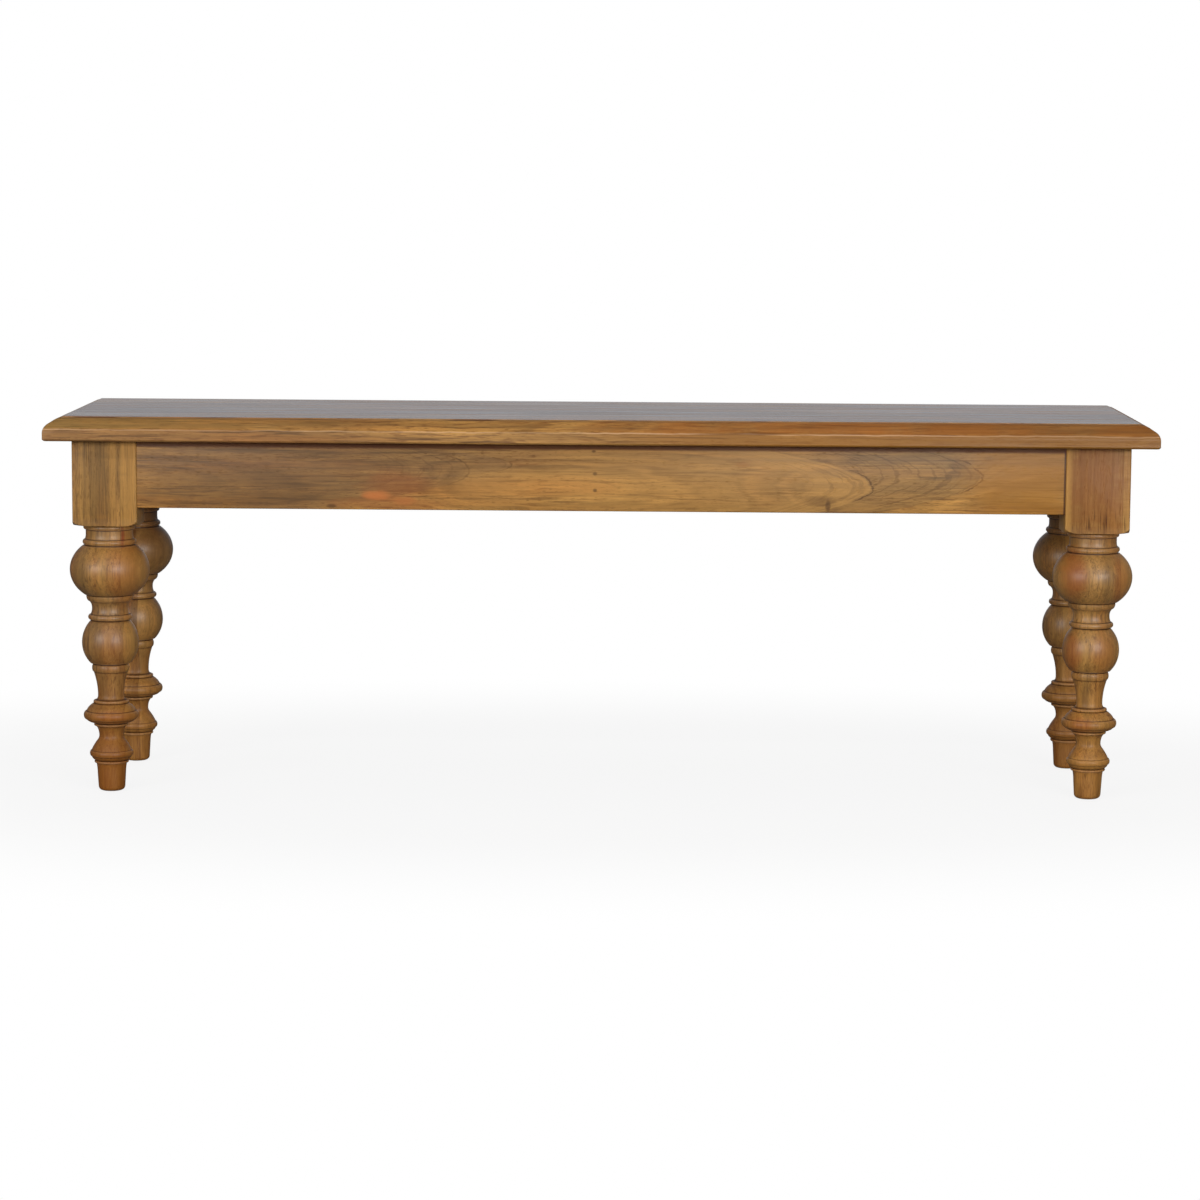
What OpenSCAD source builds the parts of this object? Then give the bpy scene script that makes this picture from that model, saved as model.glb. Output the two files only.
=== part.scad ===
// Dining bench in solid wood: a seat of four edge-glued boards with a moulded edge,
// four turned legs with square blocks, and an apron frame held by corner braces.
// Origin on the floor under the middle of the seat. X runs along the bench,
// the front is at -Y, and Z is up.

/* [Overall] */
// Length of the seat
bench_length = 1300; // [1050:10:1600]
// Depth of the seat, front to back
bench_depth = 350; // [340:5:420]
// Height of the seat above the floor
bench_height = 450; // [430:5:500]

/* [Seat] */
// Thickness of the seat boards
seat_thickness = 28; // [24:1:34]
// Width of the moulding cut round the top of the edge
moulding_w = 21.5; // [19:0.5:26]
// Height of the moulding, from the top down to the upright band
moulding_h = 19; // [18:0.5:20]
// Radius of the round at the front of the moulding
moulding_round_r = 13; // [11:0.5:14]
// Slope of the bevel above that round, in degrees
bevel_angle = 30; // [26:1:34]
// Depth of the little step where the bevel meets the flat top
quirk_h = 0.6; // [0.3:0.1:1]
// Radius of the arris under the edge
seat_arris_r = 3.5; // [2:0.5:5]

/* [Leg block] */
// Side of the square block at the top of a leg
block_w = 76; // [70:1:80]
// Distance from the edge of the seat in to the block
leg_inset = 30; // [25:1:40]
// Radius of the eased upright edges of the block
block_edge_r = 2; // [1:0.5:4]
// Radius out to which the underside of the block is flat
shoulder_flat_r = 43; // [40:1:45]
// Radius of the round that the lathe cuts on the block's corners
shoulder_round_r = 12; // [11:1:14]
// Depth of the flat planed on the inner corner of the block
leg_flat_depth = 11; // [10:0.5:14]

/* [Turning, foot to neck] */
// Height of the plain foot
foot_h = 33.5; // [28:0.5:40]
// Radius of the foot just above the floor
foot_low_r = 15.8; // [14:0.2:18]
// Radius of the foot where it meets its ring
foot_top_r = 18.2; // [17:0.2:19]
// Radius of the round under the foot
foot_arris_r = 5; // [3:0.5:6]
// Height of a fine ring
ring_h = 2.8; // [2.2:0.1:3.4]
// Radius of the fine rings under the two discs
ring_r = 20.4; // [20:0.2:21.2]
// How far a fine ring stands out of the wood round it
ring_proud = 0.9; // [0.5:0.1:1.2]
// Height of the quirk between a fine ring and its disc
ring_quirk_h = 0.9; // [0.6:0.1:1.2]
// Depth of that quirk
ring_quirk_depth = 0.8; // [0.5:0.1:1.2]
// Radius of the lower disc
lower_disc_r = 25.7; // [24.6:0.1:28]
// Height of the lower disc's underside
lower_disc_under_h = 4.3; // [3.6:0.1:5.4]
// Height of the lower disc's rim
lower_disc_rim_h = 7; // [6:0.2:8]
// How far the round of that rim stands out
lower_rim_proud = 1.9; // [1.4:0.1:2.4]
// Height of the hollow between the discs
disc_cove_h = 29.7; // [27:0.1:33]
// Smallest radius of that hollow
disc_cove_r = 14.4; // [13:0.2:16]
// Radius of the upper disc
upper_disc_r = 32.5; // [30:0.1:34]
// Height of the upper disc's underside
upper_disc_under_h = 4.1; // [3.4:0.1:5.2]
// Height of the upper disc's rim
upper_disc_rim_h = 10; // [8:0.5:11]
// How far the round of that rim stands out
upper_rim_proud = 3.2; // [2.4:0.1:4]
// Height of the upper disc's sloping top
upper_disc_top_h = 9.4; // [8:0.2:12]
// Height of the low bead above it
disc_bead_h = 3.2; // [2.4:0.2:4]
// Radius of that bead
disc_bead_r = 20.9; // [19.5:0.1:22]
// Height of the step from that bead in to the neck
step_h = 1.6; // [1:0.2:2]

/* [Turning, neck to block] */
// Height of the long neck
neck_h = 33; // [28:0.2:40]
// Smallest radius of the neck
neck_r = 15.4; // [14:0.1:16]
// Radius at the top of the neck
neck_top_r = 20.3; // [19:0.1:21]
// Height of the collar above the neck
neck_collar_h = 9; // [8:0.5:10]
// Radius of that collar
neck_collar_r = 22.1; // [21.5:0.1:22.5]
// Depth of the V groove on each side of a ball
groove_depth = 2; // [1:0.2:3]
// Width of such a groove
groove_h = 1.4; // [1:0.2:2]
// Radius of the small ball
small_ball_r = 33.6; // [31:0.1:35]
// Height of the small ball below its widest line
small_ball_low_h = 24.5; // [22:0.5:26]
// Height of the small ball above its widest line
small_ball_high_h = 26; // [24:0.5:28]
// Height of a bead
bead_h = 6.4; // [5:0.2:8]
// How far a bead stands out of the wood round it
bead_proud = 2.6; // [2:0.1:3.2]
// Radius of the lower bead
low_bead_r = 26; // [24.6:0.1:26.5]
// Height of the hollow between the balls
middle_cove_h = 16.5; // [14:0.5:20]
// Smallest radius of that hollow
middle_cove_r = 21.4; // [19:0.2:21.8]
// Height of the collar under the large ball
ball_collar_h = 6.2; // [5:0.2:8]
// Radius of that collar
ball_collar_r = 28; // [26:0.2:28.4]
// Radius of the large ball
large_ball_r = 47; // [44:0.5:49]
// Height of the large ball below its widest line
large_ball_low_h = 29.5; // [27:0.5:31]
// Height of the large ball above its widest line
large_ball_high_h = 28.5; // [27:0.5:31]
// Radius of the upper bead
high_bead_r = 31.6; // [30:0.2:32]
// Height of the hollow under the block
top_cove_h = 12; // [10:0.5:14]
// Smallest radius of that hollow
top_cove_r = 27.8; // [25:0.2:28]
// Height of the ring under the block
top_ring_h = 4.8; // [4:0.2:6]
// Radius of that ring
top_ring_r = 30.6; // [29.8:0.2:31.4]

/* [Apron frame] */
// Height of the aprons
apron_h = 80; // [76:1:90]
// Thickness of the aprons
apron_t = 20; // [18:1:22]
// Distance that the aprons stand back from the face of the blocks
apron_setback = 2; // [0.5:0.5:4]
// Radius of the eased lower edges of the aprons
apron_edge_r = 1.5; // [1:0.5:3]

/* [Corner braces] */
// Height of a corner brace
brace_h = 64; // [58:1:70]
// Thickness of a corner brace
brace_t = 18; // [16:1:18]
// Gap between a brace and the flat on its leg
brace_gap = 3; // [2:0.5:4]
// Least distance of a brace from the middle line of the bench
brace_nose_gap = 2; // [1:0.5:3]
// Distance between the two bolts in a brace
bolt_pitch = 32; // [28:1:36]
// Distance between the two screws at one end of a brace
brace_screw_pitch = 40; // [38:1:48]
// Depth at which the heads of those screws sit in the brace
brace_screw_sink = 4; // [3:0.5:5]

/* [Cleats and rail] */
// Length of a cleat
cleat_length = 180; // [150:5:220]
// Width of a cleat
cleat_w = 18; // [16:1:22]
// Height of a cleat
cleat_h = 20; // [18:1:22]
// Width of the rail across the middle
rail_w = 40; // [34:1:50]
// Height of that rail
rail_h = 45; // [38:1:55]
// Depth of the housing that takes each end of the rail
housing_depth = 6; // [4:0.5:8]

/* [Hardware] */
// Radius of the hanger bolts
bolt_r = 4; // [3:0.5:4]
// Length of the wood thread of a hanger bolt, inside the leg
bolt_wood_length = 45; // [35:1:50]
// Length of bolt that stands out past the nut
bolt_tail = 3; // [1:0.5:6]
// Radius of the washers
washer_r = 11; // [9:0.5:12]
// Thickness of the washers
washer_t = 1.8; // [1.2:0.1:2.5]
// Width of the nuts across their flats
nut_across_flats = 13; // [11:0.5:14]
// Height of the nuts
nut_h = 6.5; // [5:0.5:8]
// Radius of the wood screws
screw_r = 2; // [1.75:0.25:2.25]
// Radius of their heads
screw_head_r = 4; // [3.5:0.25:4.5]
// Length of the screws that hold the seat
seat_screw_length = 38; // [34:1:40]
// Length of the screws that hold the cleats
cleat_screw_length = 30; // [26:1:32]
// Length of the screws that hold the braces
brace_screw_length = 25; // [20:1:26]

/* [Clearances] */
// Radial clearance of a bolt in its hole through a brace
bolt_clearance = 0.5; // [0.3:0.1:1]
// Radial clearance between a thread and the wood or nut round it
thread_clearance = 0.1; // [0.05:0.05:0.2]
// Side clearance of the rail in its housings
housing_clearance = 0.2; // [0.1:0.1:0.4]

/* [Hidden] */
$fn = 96;
small_fn = 32;

// Steps in a round stretch of an outline, and in a small one
curve_steps = 14;
small_steps = 5;

// Heights of the frame
seat_underside = bench_height - seat_thickness;
apron_bottom = seat_underside - apron_h;
brace_mid_z = seat_underside - brace_h / 2;

// Places of the leg blocks, in one quarter of the bench
leg_x = bench_length / 2 - leg_inset - block_w / 2;
leg_y = bench_depth / 2 - leg_inset - block_w / 2;
block_inner_x = leg_x - block_w / 2;
block_inner_y = leg_y - block_w / 2;

// Outer and inner faces of the aprons
apron_outer_x = leg_x + block_w / 2 - apron_setback;
apron_outer_y = leg_y + block_w / 2 - apron_setback;
apron_inner_x = apron_outer_x - apron_t;
apron_inner_y = apron_outer_y - apron_t;

// Width of one seat board
board_w = bench_depth / 4;

// Distances along the diagonal from a block's inner corner, outwards
brace_outer_d = leg_flat_depth - brace_gap;
brace_inner_d = brace_outer_d - brace_t;

// Sum of X and Y along the middle of a brace's inner face
brace_inner_sum = block_inner_x + block_inner_y + brace_inner_d * sqrt(2);
brace_outer_sum = brace_inner_sum + brace_t * sqrt(2);
// Middle of the stretch where a brace meets a long apron, and a short one
brace_end_x = (brace_inner_sum + brace_outer_sum) / 2 - apron_inner_y;
brace_nose_y = max(brace_nose_gap, brace_inner_sum - apron_inner_x);
brace_end_y = (brace_nose_y + brace_outer_sum - apron_inner_x) / 2;
// Where a screw's head sits in a brace, along the screw
brace_head_y = brace_inner_sum - brace_end_x + brace_screw_sink;
brace_head_x = brace_inner_sum - brace_end_y + brace_screw_sink;

// Middle of a cleat, halfway between the rail and a brace
cleat_mid_x = (rail_w / 2 + brace_end_x) / 2;
cleat_screw_x = cleat_length / 3;
cleat_seat_screw_x = cleat_length / 6;
seat_screw_y = apron_inner_y - cleat_w / 2;
seat_screw_z = seat_underside - cleat_h;
rail_screw_ys = [-seat_screw_y, -board_w / 2, board_w / 2, seat_screw_y];

// How far a cut runs past the face that it starts from
overcut = 1;

// Outlines

// A value the given share of the way from a to b
function mix(a, b, share) = a + (b - a) * share;

// Points along an arc, from one angle to another
function arc_pts(centre, r, from, to, steps) = [
    for (i = [0 : steps])
        let (a = from + (to - from) * i / steps)
        [centre.x + r * cos(a), centre.y + r * sin(a)]
];

// Points along a curve from a to c that leaves and arrives towards b
function curve_pts(a, b, c, steps) = [
    for (i = [0 : steps])
        let (t = i / steps)
        (1 - t) * (1 - t) * a + 2 * t * (1 - t) * b + t * t * c
];

// Half of a ball of widest radius r at height z_mid, which narrows to end_r over span_h:
// from and to are 0 at the widest line, 1 at the upper end and -1 at the lower end
function ball_pts(z_mid, r, span_h, end_r, from, to, steps) =
    let (end_angle = acos(end_r / r), half_h = span_h / sin(end_angle))
    [
        for (i = [0 : steps])
            let (a = end_angle * (from + (to - from) * i / steps))
            [r * cos(a), z_mid + half_h * sin(a)]
    ];

// A half-round bead of the given height that stands proud of what is round it
function bead_pts(z, h, proud, r) = [
    for (i = [0 : small_steps * 2])
        let (a = -90 + 90 * i / small_steps)
        [r - proud + proud * cos(a), z + h / 2 + h / 2 * sin(a)]
];

// A hollow from radius low_r up to high_r, narrowest at the given share of its height
function cove_pts(z, h, low_r, least_r, high_r, share) = concat(
    curve_pts([low_r, z], [least_r, z + h * share * 0.35], [least_r, z + h * share], curve_steps / 2),
    curve_pts([least_r, z + h * share], [least_r, z + h * (1 - (1 - share) * 0.35)],
              [high_r, z + h], curve_steps / 2)
);

// Edge of the seat: distance in from the outermost line, and height above the underside.
// An upright band, a round, a bevel that flattens towards the top, and a little step.
band_top_z = seat_thickness - moulding_h;
bevel_start = [
    moulding_round_r * (1 - sin(bevel_angle)),
    band_top_z + moulding_round_r * cos(bevel_angle)
];
bevel_end_x = moulding_w * 0.66;
bevel_end = [bevel_end_x, bevel_start.y + (bevel_end_x - bevel_start.x) * tan(bevel_angle)];
step_foot = [moulding_w, seat_thickness - quirk_h];
seat_edge_pts = concat(
    arc_pts([seat_arris_r, seat_arris_r], seat_arris_r, 270, 180, small_steps),
    arc_pts([moulding_round_r, band_top_z], moulding_round_r, 180, 90 + bevel_angle, curve_steps / 2),
    curve_pts(bevel_end, [mix(bevel_end.x, step_foot.x, 0.45), step_foot.y - quirk_h / 2],
              step_foot, small_steps),
    [[moulding_w, seat_thickness]]
);

// Heights of the turned elements above the floor
foot_ring_z = foot_h;
lower_disc_z = foot_ring_z + ring_h + ring_quirk_h;
lower_rim_z = lower_disc_z + lower_disc_under_h;
disc_cove_z = lower_rim_z + lower_disc_rim_h;
disc_ring_z = disc_cove_z + disc_cove_h;
upper_disc_z = disc_ring_z + ring_h + ring_quirk_h;
upper_rim_z = upper_disc_z + upper_disc_under_h;
upper_top_z = upper_rim_z + upper_disc_rim_h;
disc_bead_z = upper_top_z + upper_disc_top_h;
step_z = disc_bead_z + disc_bead_h;
neck_z = step_z + step_h;
neck_collar_z = neck_z + neck_h;
small_ball_z = neck_collar_z + neck_collar_h + groove_h;
small_ball_mid_z = small_ball_z + small_ball_low_h;
low_bead_z = small_ball_mid_z + small_ball_high_h + groove_h;
middle_cove_z = low_bead_z + bead_h;
ball_collar_z = middle_cove_z + middle_cove_h;
large_ball_z = ball_collar_z + ball_collar_h + groove_h;
large_ball_mid_z = large_ball_z + large_ball_low_h;
high_bead_z = large_ball_mid_z + large_ball_high_h + groove_h;
top_cove_z = high_bead_z + bead_h;
top_ring_z = top_cove_z + top_cove_h;
block_z = top_ring_z + top_ring_h + groove_h;

// Outline of the turning from the floor to the block, element by element

foot_outline = concat(
    [[0, 0]],
    arc_pts([foot_low_r - foot_arris_r, foot_arris_r], foot_arris_r, 270, 360, small_steps),
    curve_pts([mix(foot_low_r, foot_top_r, 0.4), foot_h * 0.62],
              [mix(foot_low_r, foot_top_r, 0.5), foot_h * 0.86],
              [foot_top_r, foot_ring_z], small_steps)
);

// A fine ring with the quirk above it
function ring_pts(z) = concat(
    bead_pts(z, ring_h, ring_proud, ring_r),
    [[ring_r - ring_proud - ring_quirk_depth, z + ring_h + ring_quirk_h / 2]]
);

lower_disc_outline = concat(
    ring_pts(foot_ring_z),
    curve_pts([ring_r, lower_disc_z],
              [mix(ring_r, lower_disc_r, 0.5), mix(lower_disc_z, lower_rim_z, 0.4)],
              [lower_disc_r - lower_rim_proud, lower_rim_z], small_steps),
    bead_pts(lower_rim_z, lower_disc_rim_h, lower_rim_proud, lower_disc_r)
);

// The hollow between the discs leaves the lower one in a round shoulder
shoulder_end = [mix(disc_cove_r, lower_disc_r, 0.25), disc_cove_z + disc_cove_h * 0.38];
disc_cove_outline = concat(
    curve_pts([lower_disc_r - lower_rim_proud, disc_cove_z],
              [mix(disc_cove_r, lower_disc_r, 0.6), disc_cove_z + disc_cove_h * 0.2],
              shoulder_end, small_steps),
    curve_pts(shoulder_end,
              [disc_cove_r, disc_cove_z + disc_cove_h * 0.49],
              [disc_cove_r, disc_cove_z + disc_cove_h * 0.59], small_steps),
    curve_pts([disc_cove_r, disc_cove_z + disc_cove_h * 0.59],
              [disc_cove_r, disc_cove_z + disc_cove_h * 0.86],
              [ring_r - ring_proud * 2, disc_ring_z], small_steps)
);

upper_disc_outline = concat(
    ring_pts(disc_ring_z),
    curve_pts([ring_r + ring_proud, upper_disc_z],
              [mix(ring_r, upper_disc_r, 0.6), mix(upper_disc_z, upper_rim_z, 0.3)],
              [upper_disc_r - upper_rim_proud, upper_rim_z], small_steps),
    bead_pts(upper_rim_z, upper_disc_rim_h, upper_rim_proud, upper_disc_r),
    curve_pts([upper_disc_r - upper_rim_proud, upper_top_z],
              [mix(disc_bead_r, upper_disc_r - upper_rim_proud, 0.8), mix(upper_top_z, disc_bead_z, 0.53)],
              [disc_bead_r - ring_proud / 2, disc_bead_z], curve_steps / 2),
    bead_pts(disc_bead_z, disc_bead_h, ring_proud, disc_bead_r)
);

neck_outline = concat(
    curve_pts([mix(neck_r, disc_bead_r, 0.5), step_z + step_h / 3],
              [neck_r, neck_z],
              [neck_r, neck_z + neck_h * 0.15], small_steps),
    curve_pts([neck_r, neck_z + neck_h * 0.18],
              [mix(neck_r, neck_top_r, 0.06), neck_z + neck_h * 0.6],
              [neck_top_r, neck_collar_z], curve_steps / 2),
    bead_pts(neck_collar_z, neck_collar_h, neck_collar_r - neck_top_r, neck_collar_r),
    [[neck_collar_r - groove_depth, small_ball_z - groove_h / 2]]
);

// How much wider than the collar under it a ball starts
ball_start = 1.08;
small_ball_outline = concat(
    ball_pts(small_ball_mid_z, small_ball_r, small_ball_low_h, neck_collar_r * ball_start, -1, 0,
             curve_steps),
    ball_pts(small_ball_mid_z, small_ball_r, small_ball_high_h, low_bead_r - bead_proud, 0, 1, curve_steps),
    [[low_bead_r - bead_proud - groove_depth / 2, low_bead_z - groove_h / 2]],
    bead_pts(low_bead_z, bead_h, bead_proud, low_bead_r)
);

middle_cove_outline = concat(
    cove_pts(middle_cove_z, middle_cove_h, low_bead_r - bead_proud, middle_cove_r,
             ball_collar_r - bead_proud, 0.46),
    curve_pts([ball_collar_r - bead_proud * 0.8, ball_collar_z],
              [ball_collar_r, ball_collar_z + ball_collar_h / 3],
              [ball_collar_r, large_ball_z - groove_h], small_steps),
    [[ball_collar_r - groove_depth, large_ball_z - groove_h / 2]]
);

large_ball_outline = concat(
    ball_pts(large_ball_mid_z, large_ball_r, large_ball_low_h, ball_collar_r * ball_start, -1, 0,
             curve_steps),
    ball_pts(large_ball_mid_z, large_ball_r, large_ball_high_h, high_bead_r, 0, 1, curve_steps),
    [[high_bead_r - bead_proud, high_bead_z - groove_h / 2]],
    bead_pts(high_bead_z, bead_h, bead_proud, high_bead_r)
);

top_cove_outline = concat(
    cove_pts(top_cove_z, top_cove_h, high_bead_r - bead_proud, top_cove_r,
             top_ring_r - bead_proud, 0.52),
    bead_pts(top_ring_z, top_ring_h, bead_proud / 2, top_ring_r),
    [
        [top_ring_r - groove_depth, block_z - groove_h / 2],
        [top_ring_r - groove_depth, block_z],
        [0, block_z]
    ]
);

leg_outline = concat(
    foot_outline, lower_disc_outline, disc_cove_outline, upper_disc_outline, neck_outline,
    small_ball_outline, middle_cove_outline, large_ball_outline, top_cove_outline
);

// Helpers

// Puts its children in one quarter of the bench: side_x and side_y are 1 or -1
module in_quarter(side_x, side_y) {
    mirror([side_x < 0 ? 1 : 0, 0, 0])
        mirror([0, side_y < 0 ? 1 : 0, 0])
            children();
}

// Repeats its children in the four quarters
module in_all_quarters() {
    for (side_x = [-1, 1])
        for (side_y = [-1, 1])
            in_quarter(side_x, side_y)
                children();
}

// Turns its children from +Z onto the diagonal through a block's inner corner
module on_diagonal(distance, z) {
    translate([block_inner_x, block_inner_y, z])
        rotate([0, 0, 45])
            translate([distance, 0, 0])
                rotate([0, 90, 0])
                    children();
}

// A square with eased corners, centred
module eased_square(w, r) {
    union() {
        square([w, w - 2 * r], center = true);
        square([w - 2 * r, w], center = true);
        for (sx = [-1, 1])
            for (sy = [-1, 1])
                translate([sx * (w / 2 - r), sy * (w / 2 - r)])
                    circle(r, $fn = small_fn);
    }
}

// A countersunk wood screw along +Z, with the top of its head at z = 0
module wood_screw(length) {
    tip = screw_r * 2;
    union() {
        cylinder(h = screw_head_r - screw_r, r1 = screw_head_r, r2 = screw_r, $fn = small_fn);
        cylinder(h = length - tip, r = screw_r, $fn = small_fn);
        translate([0, 0, length - tip])
            cylinder(h = tip, r1 = screw_r, r2 = screw_r / 4, $fn = small_fn);
    }
}

// The hole that such a screw fits, with a counterbore of the given depth in front of it
module screw_hole(length, counterbore) {
    r = screw_r + thread_clearance;
    head_r = screw_head_r + thread_clearance;
    union() {
        translate([0, 0, -counterbore])
            cylinder(h = counterbore, r = head_r, $fn = small_fn);
        cylinder(h = head_r - r, r1 = head_r, r2 = r, $fn = small_fn);
        cylinder(h = length + thread_clearance, r = r, $fn = small_fn);
    }
}

// Places of the screws and bolts, in one quarter

module at_brace_screws() {
    for (side = [-1, 1]) {
        z = brace_mid_z + side * brace_screw_pitch / 2;
        translate([brace_end_x, brace_head_y, z])
            rotate([-90, 0, 0])
                children();
        translate([brace_head_x, brace_end_y, z])
            rotate([0, 90, 0])
                children();
    }
}

module at_cleat_screws() {
    for (side = [-1, 1])
        translate([cleat_mid_x + side * cleat_screw_x, apron_inner_y - cleat_w, seat_underside - cleat_h / 2])
            rotate([-90, 0, 0])
                children();
}

module at_cleat_seat_screws() {
    for (side = [-1, 1])
        translate([cleat_mid_x + side * cleat_seat_screw_x, seat_screw_y, seat_screw_z])
            children();
}

module at_rail_screws() {
    for (y = rail_screw_ys)
        translate([0, y, seat_screw_z])
            children();
}

module at_bolts(distance) {
    for (side = [-1, 1])
        on_diagonal(distance, brace_mid_z + side * bolt_pitch / 2)
            children();
}

// Seat

// Section through the seat of the given width, in the XY plane with Y as height
module seat_section(width) {
    half = width / 2;
    polygon(concat(
        [for (p = seat_edge_pts) [-half + p.x, p.y]],
        [for (i = [len(seat_edge_pts) - 1 : -1 : 0]) [half - seat_edge_pts[i].x, seat_edge_pts[i].y]]
    ));
}

// The whole seat, moulded on all four edges and mitred at the corners
module seat_blank() {
    translate([0, 0, seat_underside])
        intersection() {
            rotate([90, 0, 90])
                linear_extrude(bench_length, center = true)
                    seat_section(bench_depth);
            rotate([90, 0, 0])
                linear_extrude(bench_depth, center = true)
                    seat_section(bench_length);
        }
}

// One of the four boards, counted from the front
module seat_board(index) {
    color("peru")
        difference() {
            intersection() {
                seat_blank();
                translate([-bench_length / 2, -bench_depth / 2 + index * board_w, 0])
                    cube([bench_length, board_w, bench_height * 2]);
            }
            in_all_quarters()
                at_cleat_seat_screws()
                    screw_hole(seat_screw_length, 0);
            at_rail_screws()
                screw_hole(seat_screw_length, 0);
        }
}

// Legs

// The block at the top of a leg, with its corners rounded over by the lathe
module leg_block() {
    block_h = seat_underside - block_z;
    corner_r = block_w;
    intersection() {
        translate([0, 0, block_z])
            linear_extrude(block_h)
                eased_square(block_w, block_edge_r);
        translate([0, 0, block_z])
            rotate_extrude()
                polygon(concat(
                    [[0, 0]],
                    arc_pts([shoulder_flat_r, shoulder_round_r], shoulder_round_r, 270, 360, curve_steps),
                    [[corner_r, shoulder_round_r * 1.5], [corner_r, block_h], [0, block_h]]
                ));
    }
}

// A leg in the back right quarter
module leg_shape() {
    difference() {
        translate([leg_x, leg_y, 0])
            union() {
                rotate_extrude()
                    polygon(leg_outline);
                leg_block();
            }
        translate([block_inner_x, block_inner_y, block_z - shoulder_round_r])
            rotate([0, 0, 45])
                translate([leg_flat_depth - block_w, -block_w, 0])
                    cube([block_w, block_w * 2, seat_underside]);
        at_bolts(leg_flat_depth - block_w / 4)
            cylinder(h = block_w / 4 + bolt_wood_length + thread_clearance,
                     r = bolt_r + thread_clearance, $fn = small_fn);
    }
}

module leg(side_x, side_y) {
    color("peru")
        in_quarter(side_x, side_y)
            leg_shape();
}

// Apron frame

// A board along X with its lower edges eased, from z = 0, outer face at y = 0
module apron_board(length) {
    rotate([90, 0, 90])
        linear_extrude(length, center = true)
            union() {
                translate([-apron_t, apron_edge_r])
                    square([apron_t, apron_h - apron_edge_r]);
                translate([apron_edge_r - apron_t, 0])
                    square([apron_t - 2 * apron_edge_r, apron_h]);
                for (y = [-apron_edge_r, apron_edge_r - apron_t])
                    translate([y, apron_edge_r])
                        circle(apron_edge_r, $fn = small_fn);
            }
}

// Front or back apron, with its screw holes and the housing for the rail
module long_apron(side_y) {
    color("peru")
        in_quarter(1, side_y)
            difference() {
                translate([0, apron_outer_y, apron_bottom])
                    apron_board(block_inner_x * 2);
                for (side_x = [-1, 1])
                    in_quarter(side_x, 1) {
                        at_brace_screws()
                            screw_hole(brace_screw_length, 0);
                        at_cleat_screws()
                            screw_hole(cleat_screw_length, 0);
                    }
                translate([-rail_w / 2 - housing_clearance, 0, seat_underside - rail_h - housing_clearance])
                    cube([rail_w + 2 * housing_clearance, apron_inner_y + housing_depth, rail_h * 2]);
            }
}

// Left or right apron
module short_apron(side_x) {
    color("peru")
        in_quarter(side_x, 1)
            difference() {
                translate([apron_outer_x, 0, apron_bottom])
                    rotate([0, 0, -90])
                        apron_board(block_inner_y * 2);
                for (side_y = [-1, 1])
                    in_quarter(1, side_y)
                        at_brace_screws()
                            screw_hole(brace_screw_length, 0);
            }
}

// A diagonal brace between two aprons, with holes for two bolts and four screws
module corner_brace(side_x, side_y) {
    reach = block_w * 2;
    color("burlywood")
        in_quarter(side_x, side_y)
            difference() {
                intersection() {
                    translate([block_inner_x, block_inner_y, seat_underside - brace_h])
                        rotate([0, 0, 45])
                            translate([brace_inner_d, -reach, 0])
                                cube([brace_t, reach * 2, brace_h]);
                    translate([0, brace_nose_gap, 0])
                        cube([apron_inner_x, apron_inner_y - brace_nose_gap, bench_height]);
                }
                at_bolts(brace_inner_d - overcut)
                    cylinder(h = brace_t + 2 * overcut, r = bolt_r + bolt_clearance, $fn = small_fn);
                at_brace_screws()
                    screw_hole(brace_screw_length, brace_t);
            }
}

// A strip screwed along the inside of an apron, which the seat is screwed to
module seat_cleat(side_x, side_y) {
    color("burlywood")
        in_quarter(side_x, side_y)
            difference() {
                translate([cleat_mid_x - cleat_length / 2, apron_inner_y - cleat_w, seat_underside - cleat_h])
                    cube([cleat_length, cleat_w, cleat_h]);
                at_cleat_screws()
                    screw_hole(cleat_screw_length, 0);
                at_cleat_seat_screws()
                    screw_hole(seat_screw_length, 0);
            }
}

// The rail across the middle, housed in the front and back aprons
module centre_rail() {
    rail_y = apron_inner_y + housing_depth;
    color("burlywood")
        difference() {
            translate([-rail_w / 2, -rail_y, seat_underside - rail_h])
                cube([rail_w, rail_y * 2, rail_h]);
            at_rail_screws()
                screw_hole(seat_screw_length, rail_h);
        }
}

// Hardware

module hanger_bolts() {
    nut_side_d = brace_inner_d - washer_t - nut_h - bolt_tail;
    bolt_length = leg_flat_depth + bolt_wood_length - nut_side_d;
    point_h = bolt_r * 1.5;
    color("silver")
        in_all_quarters()
            at_bolts(nut_side_d)
                union() {
                    cylinder(h = bolt_length - point_h, r = bolt_r, $fn = small_fn);
                    translate([0, 0, bolt_length - point_h])
                        cylinder(h = point_h, r1 = bolt_r, r2 = bolt_r / 4, $fn = small_fn);
                }
}

module bolt_washers() {
    color("silver")
        in_all_quarters()
            at_bolts(brace_inner_d - washer_t)
                difference() {
                    cylinder(h = washer_t, r = washer_r, $fn = small_fn);
                    translate([0, 0, -overcut])
                        cylinder(h = washer_t + 2 * overcut, r = bolt_r + bolt_clearance / 2, $fn = small_fn);
                }
}

module bolt_nuts() {
    color("silver")
        in_all_quarters()
            at_bolts(brace_inner_d - washer_t - nut_h)
                difference() {
                    cylinder(h = nut_h, r = nut_across_flats / sqrt(3), $fn = 6);
                    translate([0, 0, -overcut])
                        cylinder(h = nut_h + 2 * overcut, r = bolt_r + thread_clearance, $fn = small_fn);
                }
}

module brace_screws() {
    color("goldenrod")
        in_all_quarters()
            at_brace_screws()
                wood_screw(brace_screw_length);
}

module cleat_screws() {
    color("goldenrod")
        in_all_quarters()
            at_cleat_screws()
                wood_screw(cleat_screw_length);
}

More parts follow.
